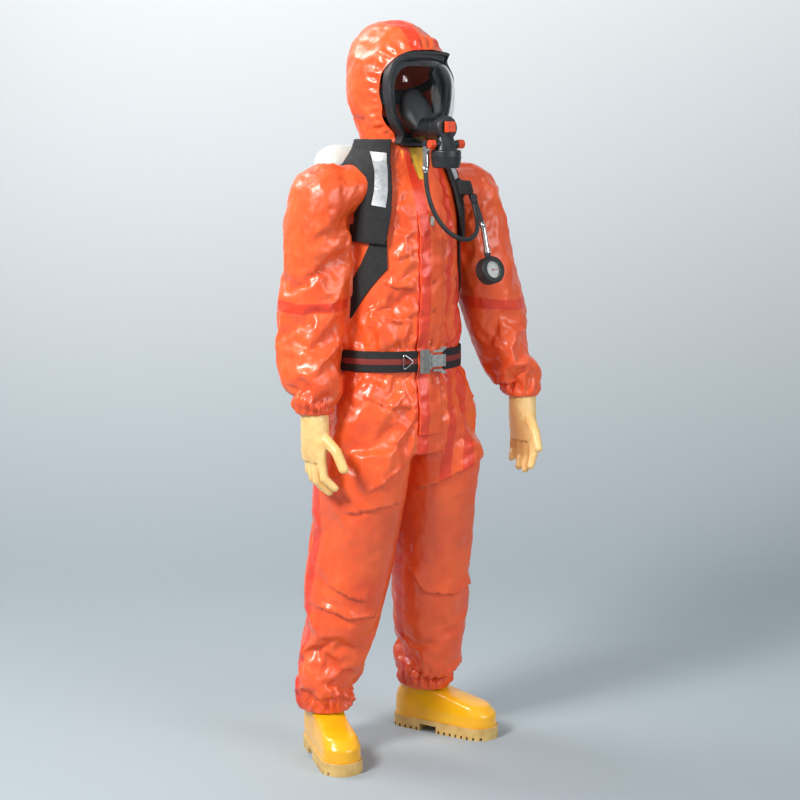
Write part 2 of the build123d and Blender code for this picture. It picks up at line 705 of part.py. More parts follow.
for name, up in (("upper", 1), ("lower", -1)):
    with BuildPart() as ear:
        with BuildSketch(Plane.XZ.offset(-BUCKLE_Y - 4)):
            with Locations((0, WAIST_Z)):
                Polygon(
                    (0, up * 20.2), (28, up * 20.2), (28, up * 23), (38, up * 28), (38, up * 32),
                    (25, up * 32), (21, up * 26), (0, up * 25), align=None,
                )
        extrude(amount=8)
    write_piece(ear.part, f"buckle_ear_{name}")

RING_X = -60.0
ring_slope = math.asin(-RING_X / (BELT_X + BELT_THICK))
ring_y = -(BELT_Y + BELT_THICK) * math.cos(ring_slope)
ring_turn = math.atan((BELT_Y + BELT_THICK) / (BELT_X + BELT_THICK) * math.tan(ring_slope))
ring_plane = Plane(
    origin=(RING_X, ring_y, WAIST_Z), x_dir=(math.cos(ring_turn), -math.sin(ring_turn), 0),
    z_dir=(-math.sin(ring_turn), -math.cos(ring_turn), 0),
).offset(2.8)
with BuildPart() as belt_ring:
    with BuildLine(ring_plane):
        FilletPolyline((-13, 20), (13, 0), (-13, -20), radius=4, close=True)
    with BuildSketch(Plane(origin=ring_plane.from_local_coords((-13, 0)), z_dir=(0, 0, -1))):
        Circle(1.6)
    sweep()
write_piece(belt_ring.part, "belt_ring")

# ---------------------------------------------------------------- back: plate, cylinder, valve, reducer
PLATE_Y = 163.0
with BuildPart() as back_plate:
    with BuildSketch(Plane.XZ.offset(-PLATE_Y - 10)):
        with Locations((0, 1190)):
            RectangleRounded(250, 500, 50)
        with Locations((0, 1190)):
            SlotOverall(300, 60, rotation=90, mode=Mode.SUBTRACT)
    extrude(amount=10)
    with Locations((0, PLATE_Y - 7, WAIST_Z)):
        Box(150, 20, 60)
write_piece(back_plate.part, "back_plate")

CYLINDER_LOW, CYLINDER_HIGH = 985.0, 1488.0


def cylinder_profile(shrink):
    """Half of the air cylinder's upright section, moved inwards by shrink."""
    low, high, side = CYLINDER_LOW + shrink, CYLINDER_HIGH - shrink, CYLINDER_Y + CYLINDER_R - shrink
    with BuildSketch(Plane.YZ) as profile:
        with BuildLine():
            Polyline((CYLINDER_Y, high), (side - 54, high))
            EllipticalCenterArc((side - 54, high - 48), 54, 48, 0, arc_size=90)
            Line((side, high - 48), (side, low + 58))
            EllipticalCenterArc((side - 50, low + 58), 50, 58, -90, arc_size=90)
            Polyline((side - 50, low), (CYLINDER_Y, low), (CYLINDER_Y, high))
        make_face()
    return profile.sketch


with BuildPart() as air_cylinder:
    revolve(cylinder_profile(0), axis=Axis((0, CYLINDER_Y, 0), (0, 0, 1)))
    revolve(cylinder_profile(8), axis=Axis((0, CYLINDER_Y, 0), (0, 0, 1)), mode=Mode.SUBTRACT)
    with Locations((0, CYLINDER_Y, CYLINDER_LOW)):
        Cylinder(8, 40, mode=Mode.SUBTRACT)
write_piece(air_cylinder.part, "air_cylinder")

VALVE_LOW = CYLINDER_LOW - 50
with BuildPart() as cylinder_valve:
    with BuildSketch(Plane.XY.offset(CYLINDER_LOW - GAP)):
        with Locations((0, CYLINDER_Y)):
            Circle(15)
    extrude(amount=-16)
    with Locations((0, CYLINDER_Y, VALVE_LOW + 17)):
        Box(34, 34, 34)
    with Locations((24, CYLINDER_Y, VALVE_LOW + 17)):
        Cylinder(12, 14, rotation=(0, 90, 0))
write_piece(cylinder_valve.part, "cylinder_valve")

with BuildPart() as cylinder_handwheel:
    with BuildSketch(Plane.YZ.offset(-17 - GAP)):
        with Locations((CYLINDER_Y, VALVE_LOW + 17)):
            Circle(21)
            with PolarLocations(21.5, 8):
                Circle(4, mode=Mode.SUBTRACT)
    extrude(amount=-26)
write_piece(cylinder_handwheel.part, "cylinder_handwheel")

with BuildPart() as pressure_reducer:
    with Locations((62, CYLINDER_Y, VALVE_LOW + 17)):
        Cylinder(19, 34, rotation=(0, 90, 0))
    with Locations((64, CYLINDER_Y - 34, VALVE_LOW + 17)):
        Cylinder(8, 34, rotation=(90, 0, 0))
    fillet(pressure_reducer.faces().sort_by(Axis.X)[-1].edges(), 3)
write_piece(pressure_reducer.part, "pressure_reducer")

with BuildPart() as coupling_wheel:
    with BuildSketch(Plane.YZ.offset(31 + GAP)):
        with Locations((CYLINDER_Y, VALVE_LOW + 17)):
            Circle(22)
            with PolarLocations(22.5, 10):
                Circle(2.5, mode=Mode.SUBTRACT)
    extrude(amount=13)
write_piece(coupling_wheel.part, "coupling_wheel")

BAND_Z = 1300.0
BAND_OUT = CYLINDER_R + GAP + 3
PIN_Y = CYLINDER_Y + BAND_OUT + 6
with BuildPart() as cylinder_band:
    with BuildSketch(Plane.XY.offset(BAND_Z - 20)):
        with Locations((0, CYLINDER_Y)):
            Circle(BAND_OUT)
            Circle(CYLINDER_R + GAP, mode=Mode.SUBTRACT)
    extrude(amount=40)
    with Locations((-16, PIN_Y - 3, BAND_Z - 16.5), (-16, PIN_Y - 3, BAND_Z + 16.5)):
        Box(12, 14, 7)
    with Locations((-16, PIN_Y, BAND_Z)):
        Cylinder(2, 36)
write_piece(cylinder_band.part, "cylinder_band")

with BuildPart() as cam_lever:
    with Locations((6, PIN_Y, BAND_Z)):
        Box(40, 5, 25)
    with Locations((-16, PIN_Y, BAND_Z)):
        Cylinder(4.6, 25)
        Cylinder(2.4, 30, mode=Mode.SUBTRACT)
write_piece(cam_lever.part, "cam_lever")

# ---------------------------------------------------------------- pressure gauge
GAUGE_LEAN = 15.0           # the gauge hangs with its top nearer to the chest
gauge_up = Vector(0, math.sin(math.radians(GAUGE_LEAN)), math.cos(math.radians(GAUGE_LEAN)))
dial_plane = Plane(origin=GAUGE, x_dir=(1, 0, 0), z_dir=(0, -gauge_up.Z, gauge_up.Y))
neck_plane = Plane(origin=GAUGE, x_dir=(1, 0, 0), z_dir=gauge_up)
with BuildPart() as gauge_case:
    with BuildSketch(dial_plane.offset(-16)):
        Circle(33)
    extrude(amount=33)
    fillet(gauge_case.edges().filter_by(GeomType.CIRCLE), 4.5)
    with BuildSketch(dial_plane.offset(17)):
        Circle(21)
    extrude(amount=-9, mode=Mode.SUBTRACT)
    with BuildSketch(neck_plane.offset(30)):
        Circle(7.5)
    extrude(amount=12)
write_piece(gauge_case.part, "gauge_case")

with BuildPart() as gauge_dial:
    with BuildSketch(dial_plane.offset(8 + GAP)):
        Circle(20.6)
    extrude(amount=1)
    with BuildSketch(dial_plane.offset(9 + GAP)):
        Circle(1.2)
    extrude(amount=1.5)
write_piece(gauge_dial.part, "gauge_dial")

with BuildPart() as gauge_needle:
    with BuildSketch(dial_plane.offset(10)):
        Circle(3)
        with Locations((8.5, 0)):
            Rectangle(13, 1.6)
        Circle(1.6, mode=Mode.SUBTRACT)
    extrude(amount=0.8)
write_piece(gauge_needle.part, "gauge_needle")

with BuildPart() as gauge_glass:
    with BuildSketch(dial_plane.offset(12.5)):
        Circle(20.6)
    extrude(amount=2)
write_piece(gauge_glass.part, "gauge_glass")

with BuildPart() as gauge_swivel:
    for low, high, radius in ((0, 12, 8.5), (12, 16, 6), (16, 62, 6.6)):
        with BuildSketch(neck_plane.offset(42 + GAP + low)):
            Circle(radius)
        extrude(amount=high - low)
write_piece(gauge_swivel.part, "gauge_swivel")

# ---------------------------------------------------------------- hoses
supply_route = [
    (FITTING[0], FITTING[1], 1439.3), (-43, -180, 1406), (-39, -186, 1366), (-27, -196, 1326),
    (-5, -206, 1293), (27, -211, 1272), (63, -207, 1267), (96, -192, 1279), (116, -172, 1303),
    (125, -150, 1334), (127, -134, 1369.6),
]
gauge_route = [
    (152, -145, 1290.9), (152, -140.3, 1308), (149.5, -133, 1328), (145, -126, 1348), (141, -121, 1369.6),
]
with BuildPart() as supply_hose:
    with BuildLine():
        tube_path(supply_route, corner_radii(supply_route))
    with BuildSketch(Plane(origin=supply_route[0], z_dir=Vector(*supply_route[1]) - supply_route[0])):
        Circle(HOSE_R)
    sweep()
write_piece(supply_hose.part, "supply_hose")

with BuildPart() as gauge_hose:
    with BuildLine():
        tube_path(gauge_route, corner_radii(gauge_route))
    with BuildSketch(Plane(origin=gauge_route[0], z_dir=Vector(*gauge_route[1]) - Vector(*gauge_route[0]))):
        Circle(HOSE_R - 1)
    sweep()
write_piece(gauge_hose.part, "gauge_hose")

for label, route in (("supply hose", supply_route), ("gauge hose", gauge_route)):
    runs = [round((Vector(*b) - Vector(*a)).length) for a, b in zip(route, route[1:])]
    print(label, "runs", runs, "radii", [round(r) for r in corner_radii(route)])
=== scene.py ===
"""Chemical protective suit with full-face mask, demand valve, harness and air cylinder.

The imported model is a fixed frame: hard parts keep their shape and get materials, soft parts are
rebuilt here. Millimetre values are measured from the wearer's own centre line, like the part's.
"""
import json
import math

import bmesh
import bpy
from mathutils import Matrix, Vector, noise
from mathutils.bvhtree import BVHTree
from mathutils.kdtree import KDTree


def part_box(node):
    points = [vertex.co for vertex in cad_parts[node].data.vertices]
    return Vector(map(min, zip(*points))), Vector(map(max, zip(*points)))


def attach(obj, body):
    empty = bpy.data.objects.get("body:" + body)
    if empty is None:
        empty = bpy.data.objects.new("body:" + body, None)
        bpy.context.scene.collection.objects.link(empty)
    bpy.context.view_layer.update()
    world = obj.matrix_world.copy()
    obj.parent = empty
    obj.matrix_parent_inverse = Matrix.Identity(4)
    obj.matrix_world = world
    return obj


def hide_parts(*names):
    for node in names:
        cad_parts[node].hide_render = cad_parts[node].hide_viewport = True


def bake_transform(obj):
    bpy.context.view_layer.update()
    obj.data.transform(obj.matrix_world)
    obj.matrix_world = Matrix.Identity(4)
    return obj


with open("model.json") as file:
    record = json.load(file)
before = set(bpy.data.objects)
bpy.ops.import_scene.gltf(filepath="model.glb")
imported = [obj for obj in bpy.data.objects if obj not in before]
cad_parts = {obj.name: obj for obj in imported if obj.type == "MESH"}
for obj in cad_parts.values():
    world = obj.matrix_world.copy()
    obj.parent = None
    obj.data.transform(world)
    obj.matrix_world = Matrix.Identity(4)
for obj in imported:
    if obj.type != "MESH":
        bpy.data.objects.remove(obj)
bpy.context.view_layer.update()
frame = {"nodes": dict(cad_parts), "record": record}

for stray in ("Cube", "Light", "Camera"):
    if stray in bpy.data.objects:
        bpy.data.objects.remove(bpy.data.objects[stray])
MM = 0.001
BELT_LOW, BELT_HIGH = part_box("waist_belt")
WEARER = Vector(((BELT_LOW.x + BELT_HIGH.x) / 2, (BELT_LOW.y + BELT_HIGH.y) / 2, 0))
WAIST = (BELT_LOW.z + BELT_HIGH.z) / 2
GARMENT = ["hood", "front_right_panel", "front_left_panel", "back_panel", "leg_right", "leg_left",
           "upper_sleeve_right", "upper_sleeve_left", "elbow_section_right", "elbow_section_left",
           "lower_sleeve_right", "lower_sleeve_left"]


def at(x, y, z):
    """A point given in millimetres from the wearer's centre line, in the row frame."""
    return WEARER + Vector((x, y, z)) * MM


def step(low, high, value):
    """0 below low, 1 above high, smooth between."""
    t = min(1.0, max(0.0, (value - low) / (high - low)))
    return t * t * (3 - 2 * t)


def near(centre, width, value):
    """1 at centre, 0 further than width away."""
    return 1 - step(0, width, abs(value - centre))


# ---------------------------------------------------------------- camera and light
VIEW_AZIMUTH = math.radians(-35)
VIEW_TARGET = at(10, 0, 868)
CAMERA_HEIGHT = 1.50
CAMERA_DISTANCE = 4.5
PICTURE_HEIGHT = 1.965          # what the picture shows at the suit's distance


def make_camera():
    data = bpy.data.cameras.new("camera")
    camera = bpy.data.objects.new("camera", data)
    bpy.context.collection.objects.link(camera)
    back = Vector((math.sin(VIEW_AZIMUTH), -math.cos(VIEW_AZIMUTH), 0))
    camera.location = VIEW_TARGET + back * CAMERA_DISTANCE
    camera.location.z = CAMERA_HEIGHT
    aim = VIEW_TARGET - camera.location
    camera.rotation_mode = "QUATERNION"
    camera.rotation_quaternion = aim.to_track_quat("-Z", "Y")
    data.sensor_width = 36
    data.lens = data.sensor_width * aim.length / PICTURE_HEIGHT
    bpy.context.scene.camera = camera


make_camera()
bpy.context.scene.view_settings.view_transform = "Standard"


# ---------------------------------------------------------------- mesh helpers
def new_object(name, mesh):
    piece = bpy.data.objects.new(name, mesh)
    bpy.context.collection.objects.link(piece)
    return piece


def from_bmesh(name, bm):
    mesh = bpy.data.meshes.new(name)
    bm.to_mesh(mesh)
    bm.free()
    return new_object(name, mesh)


def smooth_shade(piece):
    piece.data.shade_smooth()


def apply_modifiers(piece):
    graph = bpy.context.evaluated_depsgraph_get()
    mesh = bpy.data.meshes.new_from_object(piece.evaluated_get(graph))
    piece.modifiers.clear()
    piece.data = mesh


def remesh(piece, voxel):
    """Joins everything in the mesh to one even closed surface."""
    modifier = piece.modifiers.new("remesh", "REMESH")
    modifier.mode = "VOXEL"
    modifier.voxel_size = voxel * MM
    apply_modifiers(piece)


def subdivide(piece, levels=1):
    modifier = piece.modifiers.new("subdivision", "SUBSURF")
    modifier.levels = levels
    modifier.render_levels = levels
    apply_modifiers(piece)


def relax(piece, factor, rounds):
    modifier = piece.modifiers.new("smooth", "SMOOTH")
    modifier.factor = factor
    modifier.iterations = rounds
    apply_modifiers(piece)


def node_mesh(*names):
    """A copy of CAD nodes as one mesh; nodes rest at the origin."""
    bm = bmesh.new()
    for name in names:
        bm.from_mesh(frame["nodes"][name].data)
    return bm


def surface_of(*names):
    bm = node_mesh(*names)
    tree = BVHTree.FromBMesh(bm)
    bm.free()
    return tree


def section(names, z):
    """Middle and half size of what the nodes' edges cut out of the level z (mm)."""
    level = z * MM
    xs, ys = [], []
    for name in names:
        mesh = frame["nodes"][name].data
        points = [v.co for v in mesh.vertices]
        for edge in mesh.edges:
            a, b = points[edge.vertices[0]], points[edge.vertices[1]]
            if (a.z - level) * (b.z - level) > 0 or a.z == b.z:
                continue
            p = a.lerp(b, (level - a.z) / (b.z - a.z))
            xs.append(p.x)
            ys.append(p.y)
    return (min(xs) + max(xs)) / 2, (min(ys) + max(ys)) / 2, (max(xs) - min(xs)) / 2, (max(ys) - min(ys)) / 2


def ridged(point, size, octaves=2):
    """Crumple height, 0 to 1 with sharp ridges; size is the distance between ridges in mm."""
    total, weight, gain = 0.0, 0.0, 1.0
    p = point / (size * MM)
    for _ in range(octaves):
        total += gain * (1 - abs(noise.noise(p)) * 2.2)
        weight += gain
        gain *= 0.5
        p = p * 2.03 + Vector((5.1, 1.7, 9.2))
    return total / weight


# ---------------------------------------------------------------- the coated suit
RING_POINTS = 56
SUIT_VOXEL = 9.5
TORSO = ["front_right_panel", "front_left_panel", "back_panel"]
ARM_GAP = 168                   # the sleeves' inner side, clear of the body for the remesh


def add_tube(bm, rings):
    """A closed tube through rings of (middle x, middle y, half width, half depth, z, inner limit)."""
    loops = []
    for cx, cy, hx, hy, z, limit in rings:
        loop = []
        for i in range(RING_POINTS):
            a = 2 * math.pi * i / RING_POINTS
            x = cx + hx * math.cos(a)
            if limit is not None:
                x = min(x, limit) if limit < WEARER.x else max(x, limit)
            loop.append(bm.verts.new((x, cy + hy * math.sin(a), z * MM)))
        loops.append(loop)
    for low, high in zip(loops, loops[1:]):
        for i in range(RING_POINTS):
            j = (i + 1) % RING_POINTS
            bm.faces.new((low[i], low[j], high[j], high[i]))
    bm.faces.new(loops[0][::-1])
    bm.faces.new(loops[-1])


def add_yoke(bm, rings):
    """A closed tube across the shoulder, through rings of (x, middle z, half depth, half height) in mm."""
    loops = []
    for x, z, half_y, half_z in rings:
        loop = []
        for i in range(RING_POINTS):
            a = 2 * math.pi * i / RING_POINTS
            loop.append(bm.verts.new(at(x, half_y * math.cos(a), z + half_z * math.sin(a))))
        loops.append(loop)
    for low, high in zip(loops, loops[1:]):
        for i in range(RING_POINTS):
            j = (i + 1) % RING_POINTS
            bm.faces.new((low[i], low[j], high[j], high[i]))
    bm.faces.new(loops[0][::-1])
    bm.faces.new(loops[-1])


def suit_solid():
    bm = bmesh.new()
    body = []
    for z in (756, 800, 850, 890, 925, 955, 980, 1005, 1035, 1070, 1120, 1200, 1280):
        cx, cy, hx, hy = section(TORSO, z)
        body.append((WEARER.x, cy, hx, hy, z, None))
    for z in (1330, 1385, 1425, 1452, 1480, 1502):
        cx, cy, hx, hy = section(["back_panel"], z)
        back = cy + hy
        width = section(TORSO, z)[2]
        if 1300 < z < 1420:
            width = body[-1][2]
        body.append((WEARER.x, WEARER.y, width, back - WEARER.y, z, None))
    for z in (1535, 1580, 1640, 1690):
        cx, cy, hx, hy = section(["hood"], z)
        body.append((WEARER.x, WEARER.y - 2 * MM, hx, cy + hy - WEARER.y, z, None))
    for z in (1735, 1765, 1779):
        cx, cy, hx, hy = section(["hood"], z)
        body.append((WEARER.x, cy, hx, hy, z, None))
    add_tube(bm, body)
    for side in ("right", "left"):
        rings = []
        for z in (113, 135, 160, 185, 240, 300, 390, 480, 565, 650, 748, 775):
            cx, cy, hx, hy = section(["leg_" + side], min(z, 748))
            rings.append((cx, cy, hx, hy, z, None))
        add_tube(bm, rings)
        sign = -1 if side == "right" else 1
        limit = WEARER.x + sign * ARM_GAP * MM
        parts = [n for n in GARMENT if n.endswith("sleeve_" + side) or n == "elbow_section_" + side]
        low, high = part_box("lower_sleeve_" + side)[0].z / MM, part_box("upper_sleeve_" + side)[1].z / MM
        rings = []
        count = 22
        for i in range(count):
            z = low + 1 + (high - low - 4) * i / (count - 1)
            cx, cy, hx, hy = section(parts, z)
            outer = cx + sign * hx
            half = max(hx, hy)
            if z < 1300:
                rings.append((outer - sign * hy, cy, hy, hy, z, limit))
            else:
                rings.append((cx, cy, hx, hy, z, None))
        add_tube(bm, rings)
        yoke = []
        for x, z, half_y, half_z in ((108, 1396, 72, 56), (150, 1384, 82, 56), (196, 1372, 80, 66), (214, 1368, 66, 58)):
            yoke.append((x * sign, z, half_y, half_z))
        add_yoke(bm, yoke)
    bmesh.ops.recalc_face_normals(bm, faces=bm.faces)
    solid = from_bmesh("suit", bm)
    remesh(solid, SUIT_VOXEL)
    return solid


def open_solid(solid):
    """Cuts the face opening, the collar's V, the cuffs and the hems out of the closed surface."""
    bm = bmesh.new()
    bm.from_mesh(solid.data)
    for side in ("right", "left"):
        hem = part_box("leg_" + side)[0].z + 2 * MM
        geometry = [f for f in bm.faces if f.calc_center_median().z < hem + 0.04
                    and (f.calc_center_median().x - WEARER.x) * (1 if side == "left" else -1) > 0]
        cut_below(bm, geometry, hem)
        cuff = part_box("lower_sleeve_" + side)[0].z + 2 * MM
        geometry = [f for f in bm.faces if cuff - 0.02 < f.calc_center_median().z < cuff + 0.02
                    and (f.calc_center_median().x - WEARER.x) * (1 if side == "left" else -1) > 0.208]
        cut_below(bm, geometry, cuff)
    cad = surface_of(*GARMENT)
    front = WEARER.y - 0.038
    inside = set()
    rim = {}
    for v in bm.verts:
        if v.co.y > front or v.co.z < 1.345 or abs(v.co.x - WEARER.x) > 0.11:
            continue
        spot = cad.find_nearest(v.co)[0]
        gap = v.co - spot
        if (gap - v.normal * gap.dot(v.normal)).length > 0.0022:
            inside.add(v)
            rim[v] = spot
    gone = [f for f in bm.faces if all(v in inside for v in f.verts)]
    bmesh.ops.delete(bm, geom=gone, context="FACES")
    for v in bm.verts:
        if v in inside and v.link_faces:
            v.co = rim[v]
    loose = [v for v in bm.verts if not v.link_faces]
    bmesh.ops.delete(bm, geom=loose, context="VERTS")
    bm.to_mesh(solid.data)
    bm.free()


def cut_below(bm, faces, level):
    geometry = set(faces)
    for f in faces:
        geometry.update(f.edges)
        geometry.update(f.verts)
    bmesh.ops.bisect_plane(bm, geom=list(geometry), plane_co=(0, 0, level), plane_no=(0, 0, 1), clear_inner=True)


SIM_FRAMES = 30
LOOSE_HOLD = 0.04              # how strongly the film is drawn back to the CAD shape


def crumple(solid):
    """Lets the film grow a little between its pinned edges, so that it buckles into folds."""
    mesh = solid.data
    rest = [v.co.copy() for v in mesh.vertices]
    normals = [v.normal.copy() for v in mesh.vertices]
    held = surface_of("shoulder_pads", "lower_straps", "back_plate", "neck_guard", "mask_frame")
    edges = {}
    for e in mesh.edges:
        edges[tuple(sorted(e.vertices))] = 0
    for p in mesh.polygons:
        for key in p.edge_keys:
            edges[tuple(sorted(key))] += 1
    border = set()
    for key, uses in edges.items():
        if uses == 1:
            border.update(key)
    tree = KDTree(len(border))
    for i in border:
        tree.insert(rest[i], i)
    tree.balance()
    group = solid.vertex_groups.new(name="pin")
    tight = solid.vertex_groups.new(name="tight")
    for i, p in enumerate(rest):
        edge_distance = tree.find(p)[2]
        harness = held.find_nearest(p)[3]
        x, y, z = (p - WEARER) / MM
        flap = near(0, 58, x) if y < 0 and 790 < z < 1345 else 0
        hold = max(1 - step(0.003, 0.022, edge_distance), 1 - step(0.008, 0.024, harness), flap)
        group.add([i], max(hold, LOOSE_HOLD), "REPLACE")
        calm = max(1 - step(560, 760, z), step(1300, 1390, z))
        tight.add([i], calm, "REPLACE")
        mesh.vertices[i].co = p + normals[i] * (noise.noise(p * 45) * 1.6 * MM)
    cloth = solid.modifiers.new("cloth", "CLOTH")
    s = cloth.settings
    s.quality = 6
    s.mass = 0.12
    s.air_damping = 3
    s.tension_stiffness = 25
    s.compression_stiffness = 25
    s.shear_stiffness = 10
    s.bending_stiffness = 0.9
    s.shrink_min = -0.09
    s.shrink_max = -0.045
    s.vertex_group_shrink = "tight"
    s.use_pressure = True
    s.uniform_pressure_force = 0.05
    s.vertex_group_mass = "pin"
    s.pin_stiffness = 2
    s.effector_weights.gravity = 0.05
    cloth.collision_settings.use_collision = False
    scene = bpy.context.scene
    scene.frame_start = 1
    scene.frame_end = SIM_FRAMES
    for f in range(1, SIM_FRAMES + 1):
        scene.frame_set(f)
    apply_modifiers(solid)
    cap = 24 * MM
    moved = []
    for v, p in zip(solid.data.vertices, rest):
        move = v.co - p
        if move.length > cap:
            v.co = p + move * (cap / move.length)
        moved.append(move.length)
    moved.sort()
    print("crumple moved", [round(moved[int(len(moved) * q)] / MM, 1) for q in (0.25, 0.5, 0.75, 0.9, 0.99)])
    layer = solid.data.attributes.new("rest", "FLOAT_VECTOR", "POINT")
    for item, p in zip(layer.data, rest):
        item.vector = (p - WEARER) / MM
    return rest


def section_middle(names, low, high, count=12):
    """How the middle of a limb and its size run with height, as a function of z in mm."""
    rows = []
    for i in range(count):
        z = low + (high - low) * i / (count - 1)
        cx, cy, hx, hy = section(names, z)
        rows.append((z, (cx - WEARER.x) / MM, (cy - WEARER.y) / MM, hx / MM, hy / MM))

    def look_up(z):
        z = min(high, max(low, z))
        k = min(count - 2, int((z - low) / (high - low) * (count - 1)))
        a, b = rows[k], rows[k + 1]
        t = (z - a[0]) / (b[0] - a[0])
        return [a[n] + (b[n] - a[n]) * t for n in range(1, 5)]
    return look_up


LEG_AXIS = {s: section_middle(["leg_" + s], 114, 748) for s in ("right", "left")}


CUFF_X = {}
for side in ("right", "left"):
    low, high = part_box("lower_sleeve_" + side)
    CUFF_X[side] = ((low.x + high.x) / 2 - WEARER.x) / MM


def divider(z):
    """How far from the middle plane a sleeve starts, in mm."""
    drop = max(0, 1000 - z)
    return 160 + 0.23 * drop + 0.0004 * drop * drop


def is_arm(rest):
    return rest.z > 840 and abs(rest.x) > divider(rest.z)


def seam_distance(p):
    """Distance outside the nearest taped seam, negative on the tape; p is a rest point in mm."""
    x, y, z = p
    best = 100.0
    if is_arm(p):
        best = min(best, abs(z - 1120 - 0.05 * y) - 12)
        return best
    side = "right" if x < 0 else "left"
    sign = -1 if x < 0 else 1
    if y < 0 and z > max(690, 668 + (x - 14) * 0.515):
        best = min(best, abs(x + 21) - 15, abs(x - 62) - 11, abs(x - 112) - 14)
    if z < 900:
        cx, cy, hx, hy = LEG_AXIS[side](z)
        angle = math.degrees(math.atan2((y - cy) / hy, (x - cx) * sign / hx))
        arc = math.radians(1) * (hx + hy) / 2
        best = min(best, abs(angle - 18) * arc - 19)
        if z < 752:
            best = min(best, (180 - abs(angle)) * arc - 12)
    return best


def polyline_offset(x, z, line):
    """Distance to a line of (x, z) points, signed above it, and how far along it is, 0 to 1."""
    best = (1e9, 0.0, 0.0)
    count = len(line) - 1
    for k, (a, b) in enumerate(zip(line, line[1:])):
        dx, dz = b[0] - a[0], b[1] - a[1]
        t = min(1, max(0, ((x - a[0]) * dx + (z - a[1]) * dz) / (dx * dx + dz * dz)))
        ex, ez = x - a[0] - t * dx, z - a[1] - t * dz
        distance = math.hypot(ex, ez)
        if distance < best[0]:
            side = dx * ez - dz * ex
            best = (distance, distance if side > 0 else -distance, (k + t) / count)
    return best[1], best[2]


# folds seen on the front: line of (x, z) from right to left, height, reach
FOLDS = [
    ([(-201, 642), (-130, 652), (-60, 660)], 7, 60),
    ([(-165, 688), (-120, 712), (-72, 740)], 5, 38),
    ([(14, 668), (80, 702), (185, 756)], 8, 60),
    ([(24, 480), (52, 414), (120, 402), (196, 432)], 9, 55),
    ([(-244, 412), (-186, 380), (-112, 380)], 8, 50),
    ([(-232, 470), (-190, 436), (-150, 424)], 6, 36),
    ([(-248, 170), (-186, 158), (-122, 122)], 10, 45),
    ([(64, 150), (130, 172), (205, 214)], 10, 52),
    ([(-150, 1190), (-96, 1160), (-40, 1150)], 5, 45),
    ([(-140, 1110), (-100, 1075), (-50, 1068)], 6, 40),
    ([(-130, 1250), (-84, 1224), (-44, 1236)], 5, 36),
    ([(-150, 905), (-110, 880), (-50, 872)], 6, 46),
    ([(60, 890), (110, 868), (160, 880)], 5, 40),
]


def fold_height(p):
    if p.y > 40:
        return 0.0
    total = 0.0
    for line, height, reach in FOLDS:
        offset, along = polyline_offset(p.x, p.z, line)
        if -reach < offset < reach:
            ends = step(0, 0.12, along) * (1 - step(0.88, 1, along)) if len(line) > 1 else 1
            if offset >= 0:
                total += height * ends * (1 - offset / reach) ** 2
            else:
                total -= height * 0.45 * ends * math.exp(offset / 7)
    return total


def gather_height(p, rim_distance):
    """Ripples drawn in by the elastics at hems, cuffs, waist and hood edge; rim_distance in mm."""
    x, y, z = p
    wobble = noise.noise(p / 60) * 3
    if is_arm(p):
        angle = math.atan2(y + 40, x - CUFF_X["right" if x < 0 else "left"])
        return 4.5 * math.sin(angle * 19 + wobble) * (1 - step(8, 75, rim_distance))
    if z < 300:
        side = "right" if x < 0 else "left"
        cx, cy, hx, hy = LEG_AXIS[side](z)
        angle = math.atan2((y - cy) / hy, (x - cx) / hx)
        return 5 * math.sin(angle * 21 + wobble) * (1 - step(8, 85, rim_distance))
    if z > 1450:
        angle = math.atan2(z - 1600, x)
        return 3.2 * math.sin(angle * 34 + wobble) * (1 - step(6, 48, rim_distance))
    angle = math.atan2(y, x)
    return 5 * math.sin(angle * 30 + wobble * 1.4) * near(0, 90, z - 980) * step(12, 30, abs(z - 980))


def rim_tree(mesh):
    uses = {}
    for p in mesh.polygons:
        for key in p.edge_keys:
            uses[key] = uses.get(key, 0) + 1
    border = set()
    for key, count in uses.items():
        if count == 1:
            border.update(key)
    tree = KDTree(len(border))
    for i in border:
        tree.insert(mesh.vertices[i].co, i)
    tree.balance()
    return tree


def press_under_belt(p, now):
    """The belt draws the film in to just under its inner face."""
    weight = near(0, 46, p.z - WAIST / MM)
    if weight <= 0 or is_arm(p):
        return now
    half_x = (BELT_HIGH.x - BELT_LOW.x) / 2 - 5.5 * MM
    half_y = (BELT_HIGH.y - BELT_LOW.y) / 2 - 5.5 * MM
    flat = Vector((now.x - WEARER.x, now.y - WEARER.y, 0))
    if flat.length < 1e-6:
        return now
    reach = 1 / math.hypot(flat.x / half_x, flat.y / half_y)
    target = WEARER + flat * reach
    return now.lerp(Vector((target.x, target.y, now.z)), min(1, weight * 1.5))


